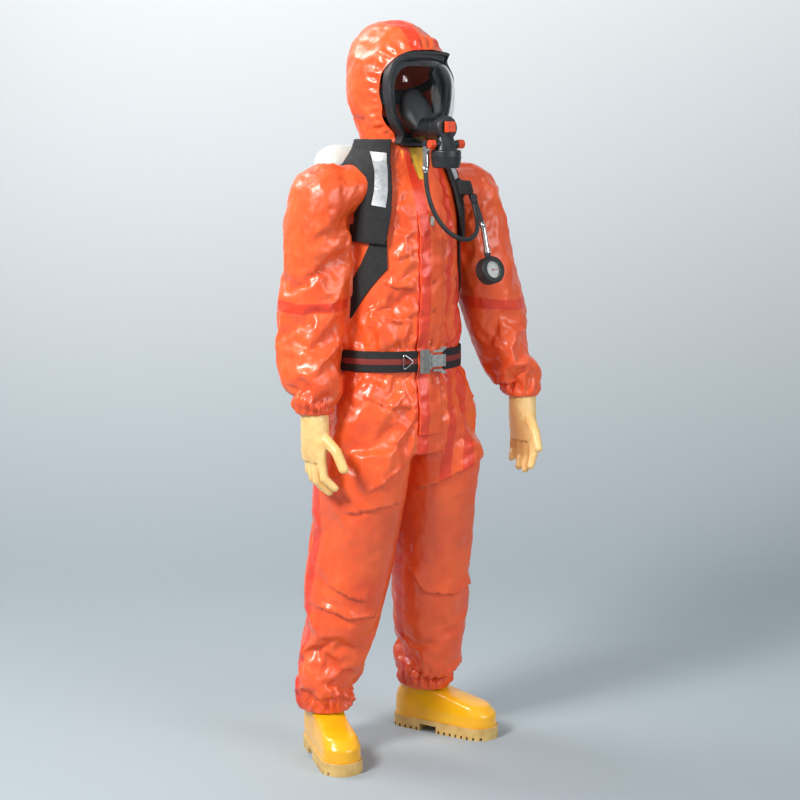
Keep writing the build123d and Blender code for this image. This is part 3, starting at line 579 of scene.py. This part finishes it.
def finish_suit(solid):
    """Adds folds, gathers and fine crumple, and stores where the taped seams run."""
    subdivide(solid)
    mesh = solid.data
    rest = [Vector(item.vector) for item in mesh.attributes["rest"].data]
    tree = rim_tree(mesh)
    harness = surface_of("shoulder_pads", "lower_straps", "back_plate", "cylinder_band")
    shell = surface_of(*TORSO, "hood")
    normals = [v.normal.copy() for v in mesh.vertices]
    seams = mesh.attributes.new("seam", "FLOAT", "POINT")
    shade = mesh.attributes.new("shade", "FLOAT", "POINT")
    for i, v in enumerate(mesh.vertices):
        p = rest[i]
        rim = tree.find(v.co)[2] / MM
        calm = step(2, 16, rim)
        fine = 1.0 if p.z > 760 else 0.6
        height = (ridged(v.co, 42, 3) - 0.62) * 2.6 * fine
        height += fold_height(p) + gather_height(p, rim)
        v.co = v.co + normals[i] * (height * calm * MM)
        v.co = press_under_belt(p, v.co)
        over_guard = near(0, 66, p.x) * near(1398, 122, p.z) if p.y < -40 else 0
        if over_guard > 0:
            v.co = v.co.lerp(WEARER + p * MM + normals[i] * 0.0012, min(1, over_guard * 2.5))
        if 1000 < p.z < 1520 and abs(p.x) < 175:
            hold = 1 - step(0.010, 0.026, harness.find_nearest(WEARER + p * MM)[3])
            if hold > 0:
                spot, facing, _, _ = shell.find_nearest(WEARER + p * MM)
                away = WEARER + p * MM - facing * 0.0005
                v.co = v.co.lerp(away, hold)
        seams.data[i].value = seam_distance(p)
        shade.data[i].value = near(585, 150, p.z) * 0.8
    solid.data.update()


def roll_rims(bm):
    """Turns every open edge over a thick channel and back inside."""
    for out, inward in ((1.6, 1.2), (1.2, 2.6), (-5.0, 2.0)):
        rims = [e for e in bm.edges if len(e.link_faces) == 1]
        directions = {}
        for e in rims:
            face = e.link_faces[0]
            middle = (e.verts[0].co + e.verts[1].co) / 2
            along = (e.verts[1].co - e.verts[0].co).normalized()
            away = middle - face.calc_center_median()
            away = (away - along * away.dot(along)).normalized()
            for v in e.verts:
                a, n, k = directions.get(v.index, (Vector(), Vector(), 0))
                directions[v.index] = (a + away, n + face.normal, k + 1)
        bm.verts.index_update()
        bm.verts.ensure_lookup_table()
        result = bmesh.ops.extrude_edge_only(bm, edges=rims)
        fresh = [g for g in result["geom"] if isinstance(g, bmesh.types.BMVert)]
        for v in fresh:
            for e in v.link_edges:
                source = e.other_vert(v)
                if source.index in directions and source not in fresh:
                    a, n, k = directions[source.index]
                    v.co = source.co + a.normalized() * (out * MM) - n.normalized() * (inward * MM)
                    break
        bm.verts.index_update()


def piece_of(solid, name, wanted):
    """The faces of the suit whose rest position is wanted, as their own piece."""
    bm = bmesh.new()
    bm.from_mesh(solid.data)
    layer = bm.verts.layers.float_vector["rest"]
    gone = []
    for f in bm.faces:
        middle = sum((Vector(v[layer]) for v in f.verts), Vector()) / len(f.verts)
        if not wanted(middle):
            gone.append(f)
    bmesh.ops.delete(bm, geom=gone, context="FACES")
    piece = from_bmesh(name, bm)
    smooth_shade(piece)
    return piece


# ---------------------------------------------------------------- materials
def srgb(red, green, blue):
    """A colour as it looks on screen, 0 to 255, in the shader's linear values."""
    def linear(value):
        value /= 255
        return value / 12.92 if value < 0.04045 else ((value + 0.055) / 1.055) ** 2.4
    return (linear(red), linear(green), linear(blue), 1)


class Surface:
    """A Principled material with noise for its colour, gloss and bump."""

    def __init__(self, name, roughness=0.5, metallic=0.0, coat=0.0):
        self.material = bpy.data.materials.new(name)
        self.material.use_nodes = True
        self.nodes = self.material.node_tree.nodes
        self.links = self.material.node_tree.links
        self.shader = self.nodes["Principled BSDF"]
        self.shader.inputs["Roughness"].default_value = roughness
        self.shader.inputs["Metallic"].default_value = metallic
        self.shader.inputs["Coat Weight"].default_value = coat
        self.shader.inputs["Coat Roughness"].default_value = 0.2
        self.place = self.nodes.new("ShaderNodeTexCoord").outputs["Object"]
        self.normal = None

    def noise(self, size_mm, detail=3.0, stretch=(1, 1, 1)):
        mapping = self.nodes.new("ShaderNodeMapping")
        mapping.inputs["Scale"].default_value = stretch
        self.links.new(self.place, mapping.inputs["Vector"])
        node = self.nodes.new("ShaderNodeTexNoise")
        node.inputs["Scale"].default_value = 1 / (size_mm * MM)
        node.inputs["Detail"].default_value = detail
        self.links.new(mapping.outputs["Vector"], node.inputs["Vector"])
        return node.outputs["Fac"]

    def crease(self, size_mm):
        node = self.nodes.new("ShaderNodeTexVoronoi")
        node.feature = "DISTANCE_TO_EDGE"
        node.inputs["Scale"].default_value = 1 / (size_mm * MM)
        self.links.new(self.place, node.inputs["Vector"])
        return self.remap(node.outputs["Distance"], 0, 0.35, 0, 1)

    def wave(self, size_mm, direction, distortion=0.0):
        node = self.nodes.new("ShaderNodeTexWave")
        node.bands_direction = direction
        node.inputs["Scale"].default_value = math.pi / (10 * size_mm * MM)
        node.inputs["Distortion"].default_value = distortion
        self.links.new(self.place, node.inputs["Vector"])
        return node.outputs["Fac"]

    def remap(self, value, low, high, to_low, to_high):
        node = self.nodes.new("ShaderNodeMapRange")
        for socket, number in (("From Min", low), ("From Max", high), ("To Min", to_low), ("To Max", to_high)):
            node.inputs[socket].default_value = number
        self.links.new(value, node.inputs["Value"])
        return node.outputs["Result"]

    def maths(self, operation, a, b):
        node = self.nodes.new("ShaderNodeMath")
        node.operation = operation
        for socket, value in zip(node.inputs, (a, b)):
            if isinstance(value, (int, float)):
                socket.default_value = value
            else:
                self.links.new(value, socket)
        return node.outputs[0]

    def mix(self, factor, a, b):
        node = self.nodes.new("ShaderNodeMix")
        node.data_type = "RGBA"
        self.links.new(factor, node.inputs[0])
        for socket, value in zip((node.inputs[6], node.inputs[7]), (a, b)):
            if isinstance(value, tuple):
                socket.default_value = value
            else:
                self.links.new(value, socket)
        return node.outputs[2]

    def attribute(self, name):
        node = self.nodes.new("ShaderNodeAttribute")
        node.attribute_name = name
        return node

    def split(self, vector):
        node = self.nodes.new("ShaderNodeSeparateXYZ")
        self.links.new(vector, node.inputs[0])
        return node.outputs

    def colour(self, value):
        self.links.new(value, self.shader.inputs["Base Color"])

    def roughness(self, value, low, high):
        self.links.new(self.remap(value, 0.25, 0.75, low, high), self.shader.inputs["Roughness"])

    def bump(self, height, depth_mm, strength=1.0):
        node = self.nodes.new("ShaderNodeBump")
        node.inputs["Strength"].default_value = strength
        node.inputs["Distance"].default_value = depth_mm * MM
        self.links.new(height, node.inputs["Height"])
        if self.normal is not None:
            self.links.new(self.normal, node.inputs["Normal"])
        self.normal = node.outputs["Normal"]
        self.links.new(self.normal, self.shader.inputs["Normal"])


def plain_surface(name, light, dark, roughness, metallic=0.0, coat=0.0, patch=60, grain=1.2, depth=0.05):
    """Two close colours in soft patches, a fine grain, and gloss that wanders with the patches."""
    s = Surface(name, metallic=metallic, coat=coat)
    patches = s.noise(patch, 4)
    s.colour(s.mix(s.remap(patches, 0.3, 0.7, 0, 1), srgb(*dark), srgb(*light)))
    s.roughness(s.noise(patch / 3, 3), roughness - 0.07, roughness + 0.07)
    s.bump(s.noise(grain, 2), depth)
    return s


def film_surface():
    s = Surface("coated_film", coat=0.25)
    s.shader.inputs["Coat Roughness"].default_value = 0.24
    s.shader.inputs["Specular IOR Level"].default_value = 0.55
    tape = s.remap(s.attribute("seam").outputs["Fac"], -0.6, 0.6, 1, 0)
    patches = s.noise(90, 5)
    streaks = s.noise(14, 3, (1, 1, 0.25))
    film = s.mix(s.remap(patches, 0.32, 0.68, 0, 1), srgb(232, 78, 30), srgb(246, 98, 42))
    film = s.mix(s.remap(streaks, 0.5, 0.8, 0, 0.35), film, srgb(250, 118, 64))
    dim = s.maths("MULTIPLY", s.attribute("shade").outputs["Fac"], s.remap(s.noise(70, 3), 0.3, 0.6, 0.2, 0.75))
    film = s.mix(dim, film, srgb(214, 84, 46))
    taped = s.mix(s.remap(s.noise(40, 3), 0.3, 0.7, 0, 1), srgb(218, 48, 24), srgb(234, 62, 30))
    s.colour(s.mix(s.maths("MULTIPLY", tape, 0.88), film, taped))
    s.roughness(s.noise(24, 4), 0.27, 0.46)
    s.bump(s.noise(46, 3), 3.2, 0.6)
    s.bump(s.crease(26), 0.7, 0.45)
    s.bump(s.noise(7, 4), 0.35, 0.5)
    s.bump(tape, 0.35, 0.8)
    return s


def weave_surface(name, light, dark, thread, roughness=0.8, stripe=None):
    """Woven webbing or cloth; stripe is (colour, low z, high z) in mm from the floor."""
    s = Surface(name, roughness=roughness)
    warp = s.wave(thread, "Z")
    weft = s.wave(thread, "DIAGONAL")
    woven = s.maths("MULTIPLY", warp, weft)
    cloth = s.mix(woven, srgb(*dark), srgb(*light))
    if stripe:
        colour, low, high = stripe
        z = s.split(s.place)[2]
        band = s.maths("MULTIPLY", s.remap(z, (low - 0.6) * MM, low * MM, 0, 1),
                       s.remap(z, high * MM, (high + 0.6) * MM, 1, 0))
        faded = s.mix(s.noise(30, 3), srgb(*colour), srgb(*[int(c * 0.72) for c in colour]))
        cloth = s.mix(s.maths("MULTIPLY", band, 0.92), cloth, faded)
    s.colour(cloth)
    s.roughness(s.noise(12, 3), roughness - 0.08, roughness + 0.08)
    s.bump(woven, 0.45, 0.7)
    return s


def glove_surface():
    s = plain_surface("glove_latex", (244, 206, 140), (234, 186, 112), 0.42, coat=0.15, patch=34, grain=1.6, depth=0.1)
    s.shader.inputs["Subsurface Weight"].default_value = 0.12
    s.shader.inputs["Subsurface Radius"].default_value = (0.006, 0.003, 0.0015)
    s.bump(s.noise(9, 3), 0.5, 0.5)
    return s


def glass_surface(name, tint, roughness):
    s = Surface(name, roughness=roughness)
    s.shader.inputs["Transmission Weight"].default_value = 1.0
    s.shader.inputs["IOR"].default_value = 1.18
    s.shader.inputs["Base Color"].default_value = tint
    s.bump(s.noise(60, 2), 0.15, 0.25)
    return s


BELT_LINE = (WAIST / MM - 6.5, WAIST / MM + 6.5)
SURFACES = {
    "suit_film": film_surface(),
    "liner_yellow": plain_surface("yellow_liner", (250, 196, 60), (228, 160, 36), 0.5, patch=26, grain=1.5, depth=0.25),
    "elastic": plain_surface("elastic", (238, 90, 44), (214, 66, 28), 0.6, patch=14),
    "zip_tape": weave_surface("zip_tape", (226, 92, 46), (190, 66, 30), 1.1),
    "zip_metal": plain_surface("zip_metal", (196, 190, 178), (150, 146, 138), 0.34, metallic=1, patch=10),
    "glove_rubber": glove_surface(),
    "boot_yellow": plain_surface("boot_pvc", (250, 188, 18), (242, 168, 10), 0.24, coat=0.5, patch=80, grain=3, depth=0.12),
    "boot_sole": plain_surface("boot_sole", (226, 190, 118), (196, 158, 92), 0.6, patch=30, grain=1.8, depth=0.3),
    "visor": glass_surface("clear_visor", (0.97, 0.98, 0.98, 1), 0.03),
    "mask_rubber": plain_surface("mask_rubber", (44, 47, 50), (26, 28, 31), 0.5, patch=40, grain=0.9, depth=0.12),
    "valve_plastic": plain_surface("valve_plastic", (40, 43, 48), (25, 27, 30), 0.38, patch=22, grain=0.7, depth=0.08),
    "knob_orange": plain_surface("knob_plastic", (236, 82, 36), (212, 60, 24), 0.36, patch=12, grain=0.8),
    "fitting_metal": plain_surface("bright_metal", (214, 214, 212), (168, 170, 172), 0.2, metallic=1, patch=14),
    "hose_rubber": plain_surface("hose_rubber", (40, 42, 44), (24, 25, 27), 0.5, patch=20, grain=0.8, depth=0.1),
    "pad_fabric": weave_surface("pad_fabric", (46, 47, 50), (19, 20, 22), 1.3, 0.82),
    "webbing": weave_surface("webbing", (44, 44, 46), (17, 17, 19), 1.6, 0.78, ((150, 52, 44), *BELT_LINE)),
    "reflective": plain_surface("reflective_tape", (206, 208, 210), (172, 175, 178), 0.38, metallic=0.7, patch=10,
                                grain=0.6, depth=0.15),
    "buckle_grey": plain_surface("grey_plastic", (128, 127, 124), (104, 103, 100), 0.45, patch=16),
    "buckle_metal": plain_surface("brushed_metal", (222, 221, 217), (184, 184, 180), 0.28, metallic=0.9, patch=8),
    "plate_black": plain_surface("black_plate", (38, 39, 41), (24, 25, 26), 0.55, patch=50, grain=1.6, depth=0.2),
    "cylinder_shell": plain_surface("painted_cylinder", (214, 220, 214), (196, 203, 197), 0.3, coat=0.3, patch=120,
                                    grain=5, depth=0.1),
    "valve_brass": plain_surface("nickelled_brass", (206, 190, 146), (172, 152, 104), 0.28, metallic=1, patch=14),
    "gauge_rubber": plain_surface("gauge_rubber", (36, 37, 39), (22, 23, 24), 0.55, patch=14, grain=0.8, depth=0.1),
    "gauge_white": plain_surface("gauge_face", (240, 240, 236), (226, 226, 222), 0.5, patch=10),
    "needle_red": plain_surface("needle", (206, 40, 30), (176, 30, 24), 0.45, patch=5),
}


NODE_SLOTS = {part["node"]: part["material_slot"] for part in frame["record"]["subparts"]}
for node_name, node in frame["nodes"].items():
    node.data.materials.clear()
    node.data.materials.append(SURFACES[NODE_SLOTS[node_name]].material)


def dress(piece, slot, body=None):
    """Gives a new piece the surface of a slot, and the body that it rides on."""
    piece.data.materials.clear()
    piece.data.materials.append(SURFACES[slot].material)
    if body:
        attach(piece, body)
    return piece


# ---------------------------------------------------------------- hoses
SUPPLY_ROUTE = [
    (-43, -179, 1439.3), (-43, -180, 1406), (-39, -186, 1366), (-27, -196, 1326), (-5, -206, 1293),
    (27, -211, 1272), (63, -207, 1267), (96, -192, 1279), (116, -172, 1303), (125, -150, 1334),
    (127, -134, 1369.6),
]
GAUGE_ROUTE = [
    (152, -145, 1290.9), (152, -140.3, 1308), (149.5, -133, 1328), (145, -126, 1348), (141, -121, 1369.6),
]


def make_hose(name, node, route, radius):
    curve = bpy.data.curves.new(name, "CURVE")
    curve.dimensions = "3D"
    spline = curve.splines.new("NURBS")
    spline.points.add(len(route) - 1)
    for point, place in zip(spline.points, route):
        point.co = (*at(*place), 1)
    spline.order_u = 3
    spline.use_endpoint_u = True
    spline.resolution_u = 10
    curve.bevel_depth = radius * MM
    curve.bevel_resolution = 6
    hose = new_object(name, curve)
    dress(hose, "hose_rubber", "suit")
    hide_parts(node)


make_hose("supply_hose_line", "supply_hose", SUPPLY_ROUTE, 5.5)
make_hose("gauge_hose_line", "gauge_hose", GAUGE_ROUTE, 4.5)


def lathe(name, start, end, profile, slot, body, sides=40):
    """A turned piece: profile is (share of the way from start to end, radius in mm)."""
    axis = (end - start).normalized()
    turn = axis.to_track_quat("Z", "Y").to_matrix()
    bm = bmesh.new()
    loops = []
    for share, radius in profile:
        middle = start.lerp(end, share)
        loop = []
        for i in range(sides):
            a = 2 * math.pi * i / sides
            loop.append(bm.verts.new(middle + turn @ Vector((math.cos(a), math.sin(a), 0)) * radius * MM))
        loops.append(loop)
    for low, high in zip(loops, loops[1:]):
        for i in range(sides):
            j = (i + 1) % sides
            bm.faces.new((low[i], low[j], high[j], high[i]))
    bm.faces.new(loops[0][::-1])
    bm.faces.new(loops[-1])
    piece = from_bmesh(name, bm)
    smooth_shade(piece)
    dress(piece, slot, body)
    return piece


def along(route, distance):
    """The point that far in mm along the first run of a route, backwards from its end if negative."""
    first, second = (route[0], route[1]) if distance >= 0 else (route[-1], route[-2])
    a, b = at(*first), at(*second)
    return a + (b - a).normalized() * abs(distance) * MM


for hose_name, route, radius in (("supply", SUPPLY_ROUTE, 5.5), ("gauge", GAUGE_ROUTE, 4.5)):
    ferrule = [(0, radius + 0.6), (0.06, radius + 2.4), (0.5, radius + 2.2), (0.9, radius + 1.2), (1, radius + 0.3)]
    lathe(hose_name + "_ferrule", along(route, 0), along(route, 15), ferrule, "fitting_metal", "suit")
    sleeve = [(0, radius + 3.4), (0.3, radius + 3.0), (0.34, radius + 1.9), (0.6, radius + 1.7),
              (0.64, radius + 1.1), (1, radius + 0.5)]
    lathe(hose_name + "_strain_relief", along(route, -0.01), along(route, -24), sleeve, "hose_rubber", "suit")


# ---------------------------------------------------------------- build the suit
suit = suit_solid()
open_solid(suit)
crumple(suit)
finish_suit(suit)
suit_surface = BVHTree.FromPolygons([v.co for v in suit.data.vertices], [p.vertices[:] for p in suit.data.polygons])


def arm_side(rest):
    return "right" if rest.x < 0 else "left"


ELBOW = {}
for side in ("right", "left"):
    low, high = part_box("elbow_section_" + side)
    ELBOW[side] = ((low + high) / 2, high.z, low.z)


def wanted_piece(side, upper):
    def wanted(rest):
        if side is None:
            return not is_arm(rest)
        return is_arm(rest) and arm_side(rest) == side and (rest.z * MM > ELBOW[side][1]) == upper
    return wanted


def cut_suit():
    body = piece_of(suit, "suit_body", wanted_piece(None, False))
    dress(body, "suit_film", "suit")
    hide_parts("hood", *TORSO, "leg_right", "leg_left", "gathering_elastics")
    for side in ("right", "left"):
        upper = piece_of(suit, "sleeve_upper_" + side, wanted_piece(side, True))
        dress(upper, "suit_film")
        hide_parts("upper_sleeve_" + side)
        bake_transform(upper)
        lower = piece_of(suit, "sleeve_lower_" + side, wanted_piece(side, False))
        dress(lower, "suit_film")
        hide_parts("elbow_section_" + side, "lower_sleeve_" + side)
        middle, high, low = ELBOW[side]
        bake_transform(lower)


cut_suit()
bpy.data.objects.remove(suit)


def drape(name, surface, width, height, columns, rows, offset, thickness, wave=0.0):
    """A strip laid on a surface seen from the front; width and height give x and z limits in mm."""
    bm = bmesh.new()
    grid = []
    last = None
    for r in range(rows + 1):
        z = height[0] + (height[1] - height[0]) * r / rows
        line = []
        for c in range(columns + 1):
            x = width[0] + (width[1] - width[0]) * c / columns
            start = at(x, -450, z)
            hit = surface.ray_cast(start, Vector((0, 1, 0)))[0]
            if hit is None:
                hit = Vector((start.x, last if last is not None else at(0, -140, 0).y, start.z))
            last = hit.y
            edge = near(0, 1, c / columns)
            lift = offset + wave * edge * (0.6 + noise.noise(Vector((x, 0, z)) / 38))
            line.append(bm.verts.new(hit - Vector((0, lift * MM, 0))))
        grid.append(line)
    for low, high in zip(grid, grid[1:]):
        for c in range(columns):
            bm.faces.new((low[c], low[c + 1], high[c + 1], high[c]))
    piece = from_bmesh(name, bm)
    relax(piece, 0.5, 3)
    solidify = piece.modifiers.new("thickness", "SOLIDIFY")
    solidify.thickness = thickness * MM
    solidify.offset = 0
    apply_modifiers(piece)
    smooth_shade(piece)
    return piece


def mark_film(piece, seam):
    """The film material's seam attribute on a piece that isn't cut from the suit."""
    mesh = piece.data
    seams = mesh.attributes.new("seam", "FLOAT", "POINT")
    for item, v in zip(seams.data, mesh.vertices):
        item.value = seam((v.co - WEARER) / MM)


flap_low, flap_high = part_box("storm_flap")
FLAP_X = ((flap_low.x - WEARER.x) / MM, (flap_high.x - WEARER.x) / MM)
flap = drape("front_flap", suit_surface, FLAP_X, (flap_low.z / MM, flap_high.z / MM), 12, 110, 2.2, 1.0, 5.0)
mark_film(flap, lambda p: abs(p.x - FLAP_X[0] - 16) - 13)
dress(flap, "suit_film", "suit")
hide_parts("storm_flap")


# ---------------------------------------------------------------- rubber and padding
def soften(name, node, voxel, rounds, slot, body, factor=0.5, drops=(0,), shrinks=(1,)):
    """A CAD solid rebuilt as one even rounded skin.

    Copies moved down by drops, in mm, or drawn in about its middle by shrinks, thicken its thin walls.
    """
    low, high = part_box(node)
    middle = (low + high) / 2
    bm = bmesh.new()
    for drop, shrink in [(drop, 1) for drop in drops] + [(0, shrink) for shrink in shrinks[1:]]:
        copy = frame["nodes"][node].data.copy()
        scale = Matrix.Diagonal((shrink, shrink, 1, 1))
        copy.transform(Matrix.Translation(middle) @ scale @ Matrix.Translation(-middle))
        copy.transform(Matrix.Translation((0, 0, -drop * MM)))
        bm.from_mesh(copy)
        bpy.data.meshes.remove(copy)
    piece = from_bmesh(name, bm)
    remesh(piece, voxel)
    relax(piece, factor, rounds)
    smooth_shade(piece)
    dress(piece, slot, body)
    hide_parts(node)
    return piece


def displace(piece, height):
    """Moves each point along its normal by height(point in mm) millimetres."""
    normals = [v.normal.copy() for v in piece.data.vertices]
    for v, n in zip(piece.data.vertices, normals):
        v.co = v.co + n * (height((v.co - WEARER) / MM) * MM)
    piece.data.update()


for side in ("right", "left"):
    glove = soften("glove_skin_" + side, "glove_" + side, 1.7, 10, "glove_rubber", "forearm_" + side,
                   shrinks=(1, 0.985, 0.97, 0.955))
    displace(glove, lambda p: 0.9 * noise.noise(p / 17) + 0.5 * (ridged(p * MM, 13, 2) - 0.6))
    boot = soften("boot_skin_" + side, "boot_upper_" + side, 2.4, 26, "boot_yellow", "suit",
                  drops=(0, 0.6, 1.2, 1.8, 2.4, 3.0, 3.6))
    displace(boot, lambda p: 0.8 * noise.noise(p / 40))

pads = soften("shoulder_padding", "shoulder_pads", 3.0, 10, "pad_fabric", "suit")
displace(pads, lambda p: 0.8 * noise.noise(p / 26) - 0.9 * near(0, 2.6, (p.z % 46) - 23))

guard = soften("neck_guard_cloth", "neck_guard", 1.4, 4, "liner_yellow", "suit")
displace(guard, lambda p: -0.9 + 0.9 * noise.noise(Vector((p.x / 9, p.y / 30, p.z / 34))))


# ---------------------------------------------------------------- belt
BELT_GAP = (-35, 43)
BELT_PROFILE = [(0, -25), (0, 25), (1.2, 25.2), (2.4, 24.6), (2.9, 22.5), (2.6, 20.5), (2.9, 18), (2.9, 7),
                (3.1, 6), (3.1, -6), (2.9, -7), (2.9, -18), (2.6, -20.5), (2.9, -22.5), (2.4, -24.6), (1.2, -25.2)]


def make_belt():
    half_x = (BELT_HIGH.x - BELT_LOW.x) / 2 / MM - 3
    half_y = (BELT_HIGH.y - BELT_LOW.y) / 2 / MM - 3
    start = -math.acos(BELT_GAP[1] / (half_x + 3))
    finish = 2 * math.pi - math.acos(BELT_GAP[0] / (half_x + 3))
    steps = 300
    bm = bmesh.new()
    loops = []
    for i in range(steps + 1):
        a = start + (finish - start) * i / steps
        sway = 0.5 * noise.noise(Vector((a * 3, 0, 0)))
        loop = []
        for depth, z in BELT_PROFILE:
            reach = depth + sway
            spot = (half_x + reach) * math.cos(a), (half_y + reach) * math.sin(a)
            loop.append(bm.verts.new(at(*spot, WAIST / MM + z + sway)))
        loops.append(loop)
    sides = len(BELT_PROFILE)
    for a, b in zip(loops, loops[1:]):
        for i in range(sides):
            j = (i + 1) % sides
            bm.faces.new((a[i], b[i], b[j], a[j]))
    bm.faces.new(loops[0])
    bm.faces.new(loops[-1][::-1])
    bmesh.ops.recalc_face_normals(bm, faces=bm.faces)
    belt = from_bmesh("belt_webbing", bm)
    smooth_shade(belt)
    dress(belt, "webbing", "suit")
    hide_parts("waist_belt")


make_belt()


# ---------------------------------------------------------------- gauge dial marks
def dial_marks():
    low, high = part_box("gauge_dial")
    middle = (low + high) / 2
    mesh = frame["nodes"]["gauge_dial"].data
    facing = max((p for p in mesh.polygons if p.normal.y < 0), key=lambda p: p.area).normal.copy()
    front = max(((v.co - middle).dot(facing) for v in mesh.vertices))
    radius = (high.x - low.x) / 2
    right = Vector((1, 0, 0))
    up = facing.cross(right).normalized() * -1
    if up.z < 0:
        up = -up
    bm = bmesh.new()
    marks = 31
    for i in range(marks):
        a = math.radians(225 - 270 * i / (marks - 1))
        long = i % 5 == 0
        outer, inner = 0.9 * radius, (0.68 if long else 0.79) * radius
        wide = (0.35 if long else 0.2) * MM
        ray = right * math.cos(a) + up * math.sin(a)
        across = ray.cross(facing).normalized() * wide
        base = middle + facing * (front + 0.05 * MM)
        corners = [base + ray * inner - across, base + ray * outer - across,
                   base + ray * outer + across, base + ray * inner + across]
        lower = [bm.verts.new(c) for c in corners]
        upper = [bm.verts.new(c + facing * 0.12 * MM) for c in corners]
        bm.faces.new(upper)
        bm.faces.new(lower[::-1])
        for k in range(4):
            n = (k + 1) % 4
            bm.faces.new((lower[k], lower[n], upper[n], upper[k]))
    bmesh.ops.recalc_face_normals(bm, faces=bm.faces)
    dress(from_bmesh("dial_marks", bm), "gauge_rubber", "gauge")


dial_marks()


# ---------------------------------------------------------------- floor and light
def sweep_stage():
    """A pale floor that curves up into a backdrop behind the suit, with painted shade: grey-blue on the floor and the
    foot of the backdrop, fading to near white 2.2 m up.
    """
    surface = Surface("studio_sweep", roughness=0.75)
    height = surface.split(surface.place)[2]
    # painted shade: the colour runs from grey-blue at floor level to near white at 2.2 m height
    surface.colour(surface.mix(surface.remap(height, 0.0, 2.2, 0, 1), srgb(158, 168, 174), srgb(246, 248, 249)))
    bm = bmesh.new()
    back = Vector((-math.sin(VIEW_AZIMUTH), math.cos(VIEW_AZIMUTH), 0))
    side = Vector((back.y, -back.x, 0))
    line = [(-9, 0), (-3, 0), (1.6, 0)]
    for k in range(1, 13):
        a = math.pi / 2 * k / 12
        line.append((1.6 + 2.0 * math.sin(a), 2.0 - 2.0 * math.cos(a)))
    line.append((3.6, 7))
    rows = [[bm.verts.new(back * d + side * w + Vector((0, 0, z))) for w in (-9, 9)] for d, z in line]
    for low, high in zip(rows, rows[1:]):
        bm.faces.new((low[0], low[1], high[1], high[0]))
    stage = from_bmesh("studio_sweep", bm)
    smooth_shade(stage)
    stage.data.materials.append(surface.material)


def area_light(name, azimuth, height, distance, size, power, tint):
    data = bpy.data.lights.new(name, "AREA")
    data.shape = "DISK"
    data.size = size
    data.energy = power
    data.color = tint
    lamp = bpy.data.objects.new(name, data)
    bpy.context.collection.objects.link(lamp)
    a = math.radians(azimuth)
    lamp.location = Vector((math.sin(a) * distance, -math.cos(a) * distance, height))
    lamp.rotation_euler = (Vector((0, 0, 1.0)) - lamp.location).to_track_quat("-Z", "Y").to_euler()


sweep_stage()
area_light("key", -78, 3.2, 3.2, 1.1, 165, (1, 0.98, 0.95))
area_light("fill", 12, 2.4, 4.0, 2.6, 76, (0.95, 0.98, 1))
area_light("top", -150, 3.6, 2.4, 1.8, 80, (1, 1, 1))
world = bpy.data.worlds.new("studio")
world.use_nodes = True
world.node_tree.nodes["Background"].inputs["Color"].default_value = (0.86, 0.9, 0.94, 1)
world.node_tree.nodes["Background"].inputs["Strength"].default_value = 0.4
bpy.context.scene.world = world
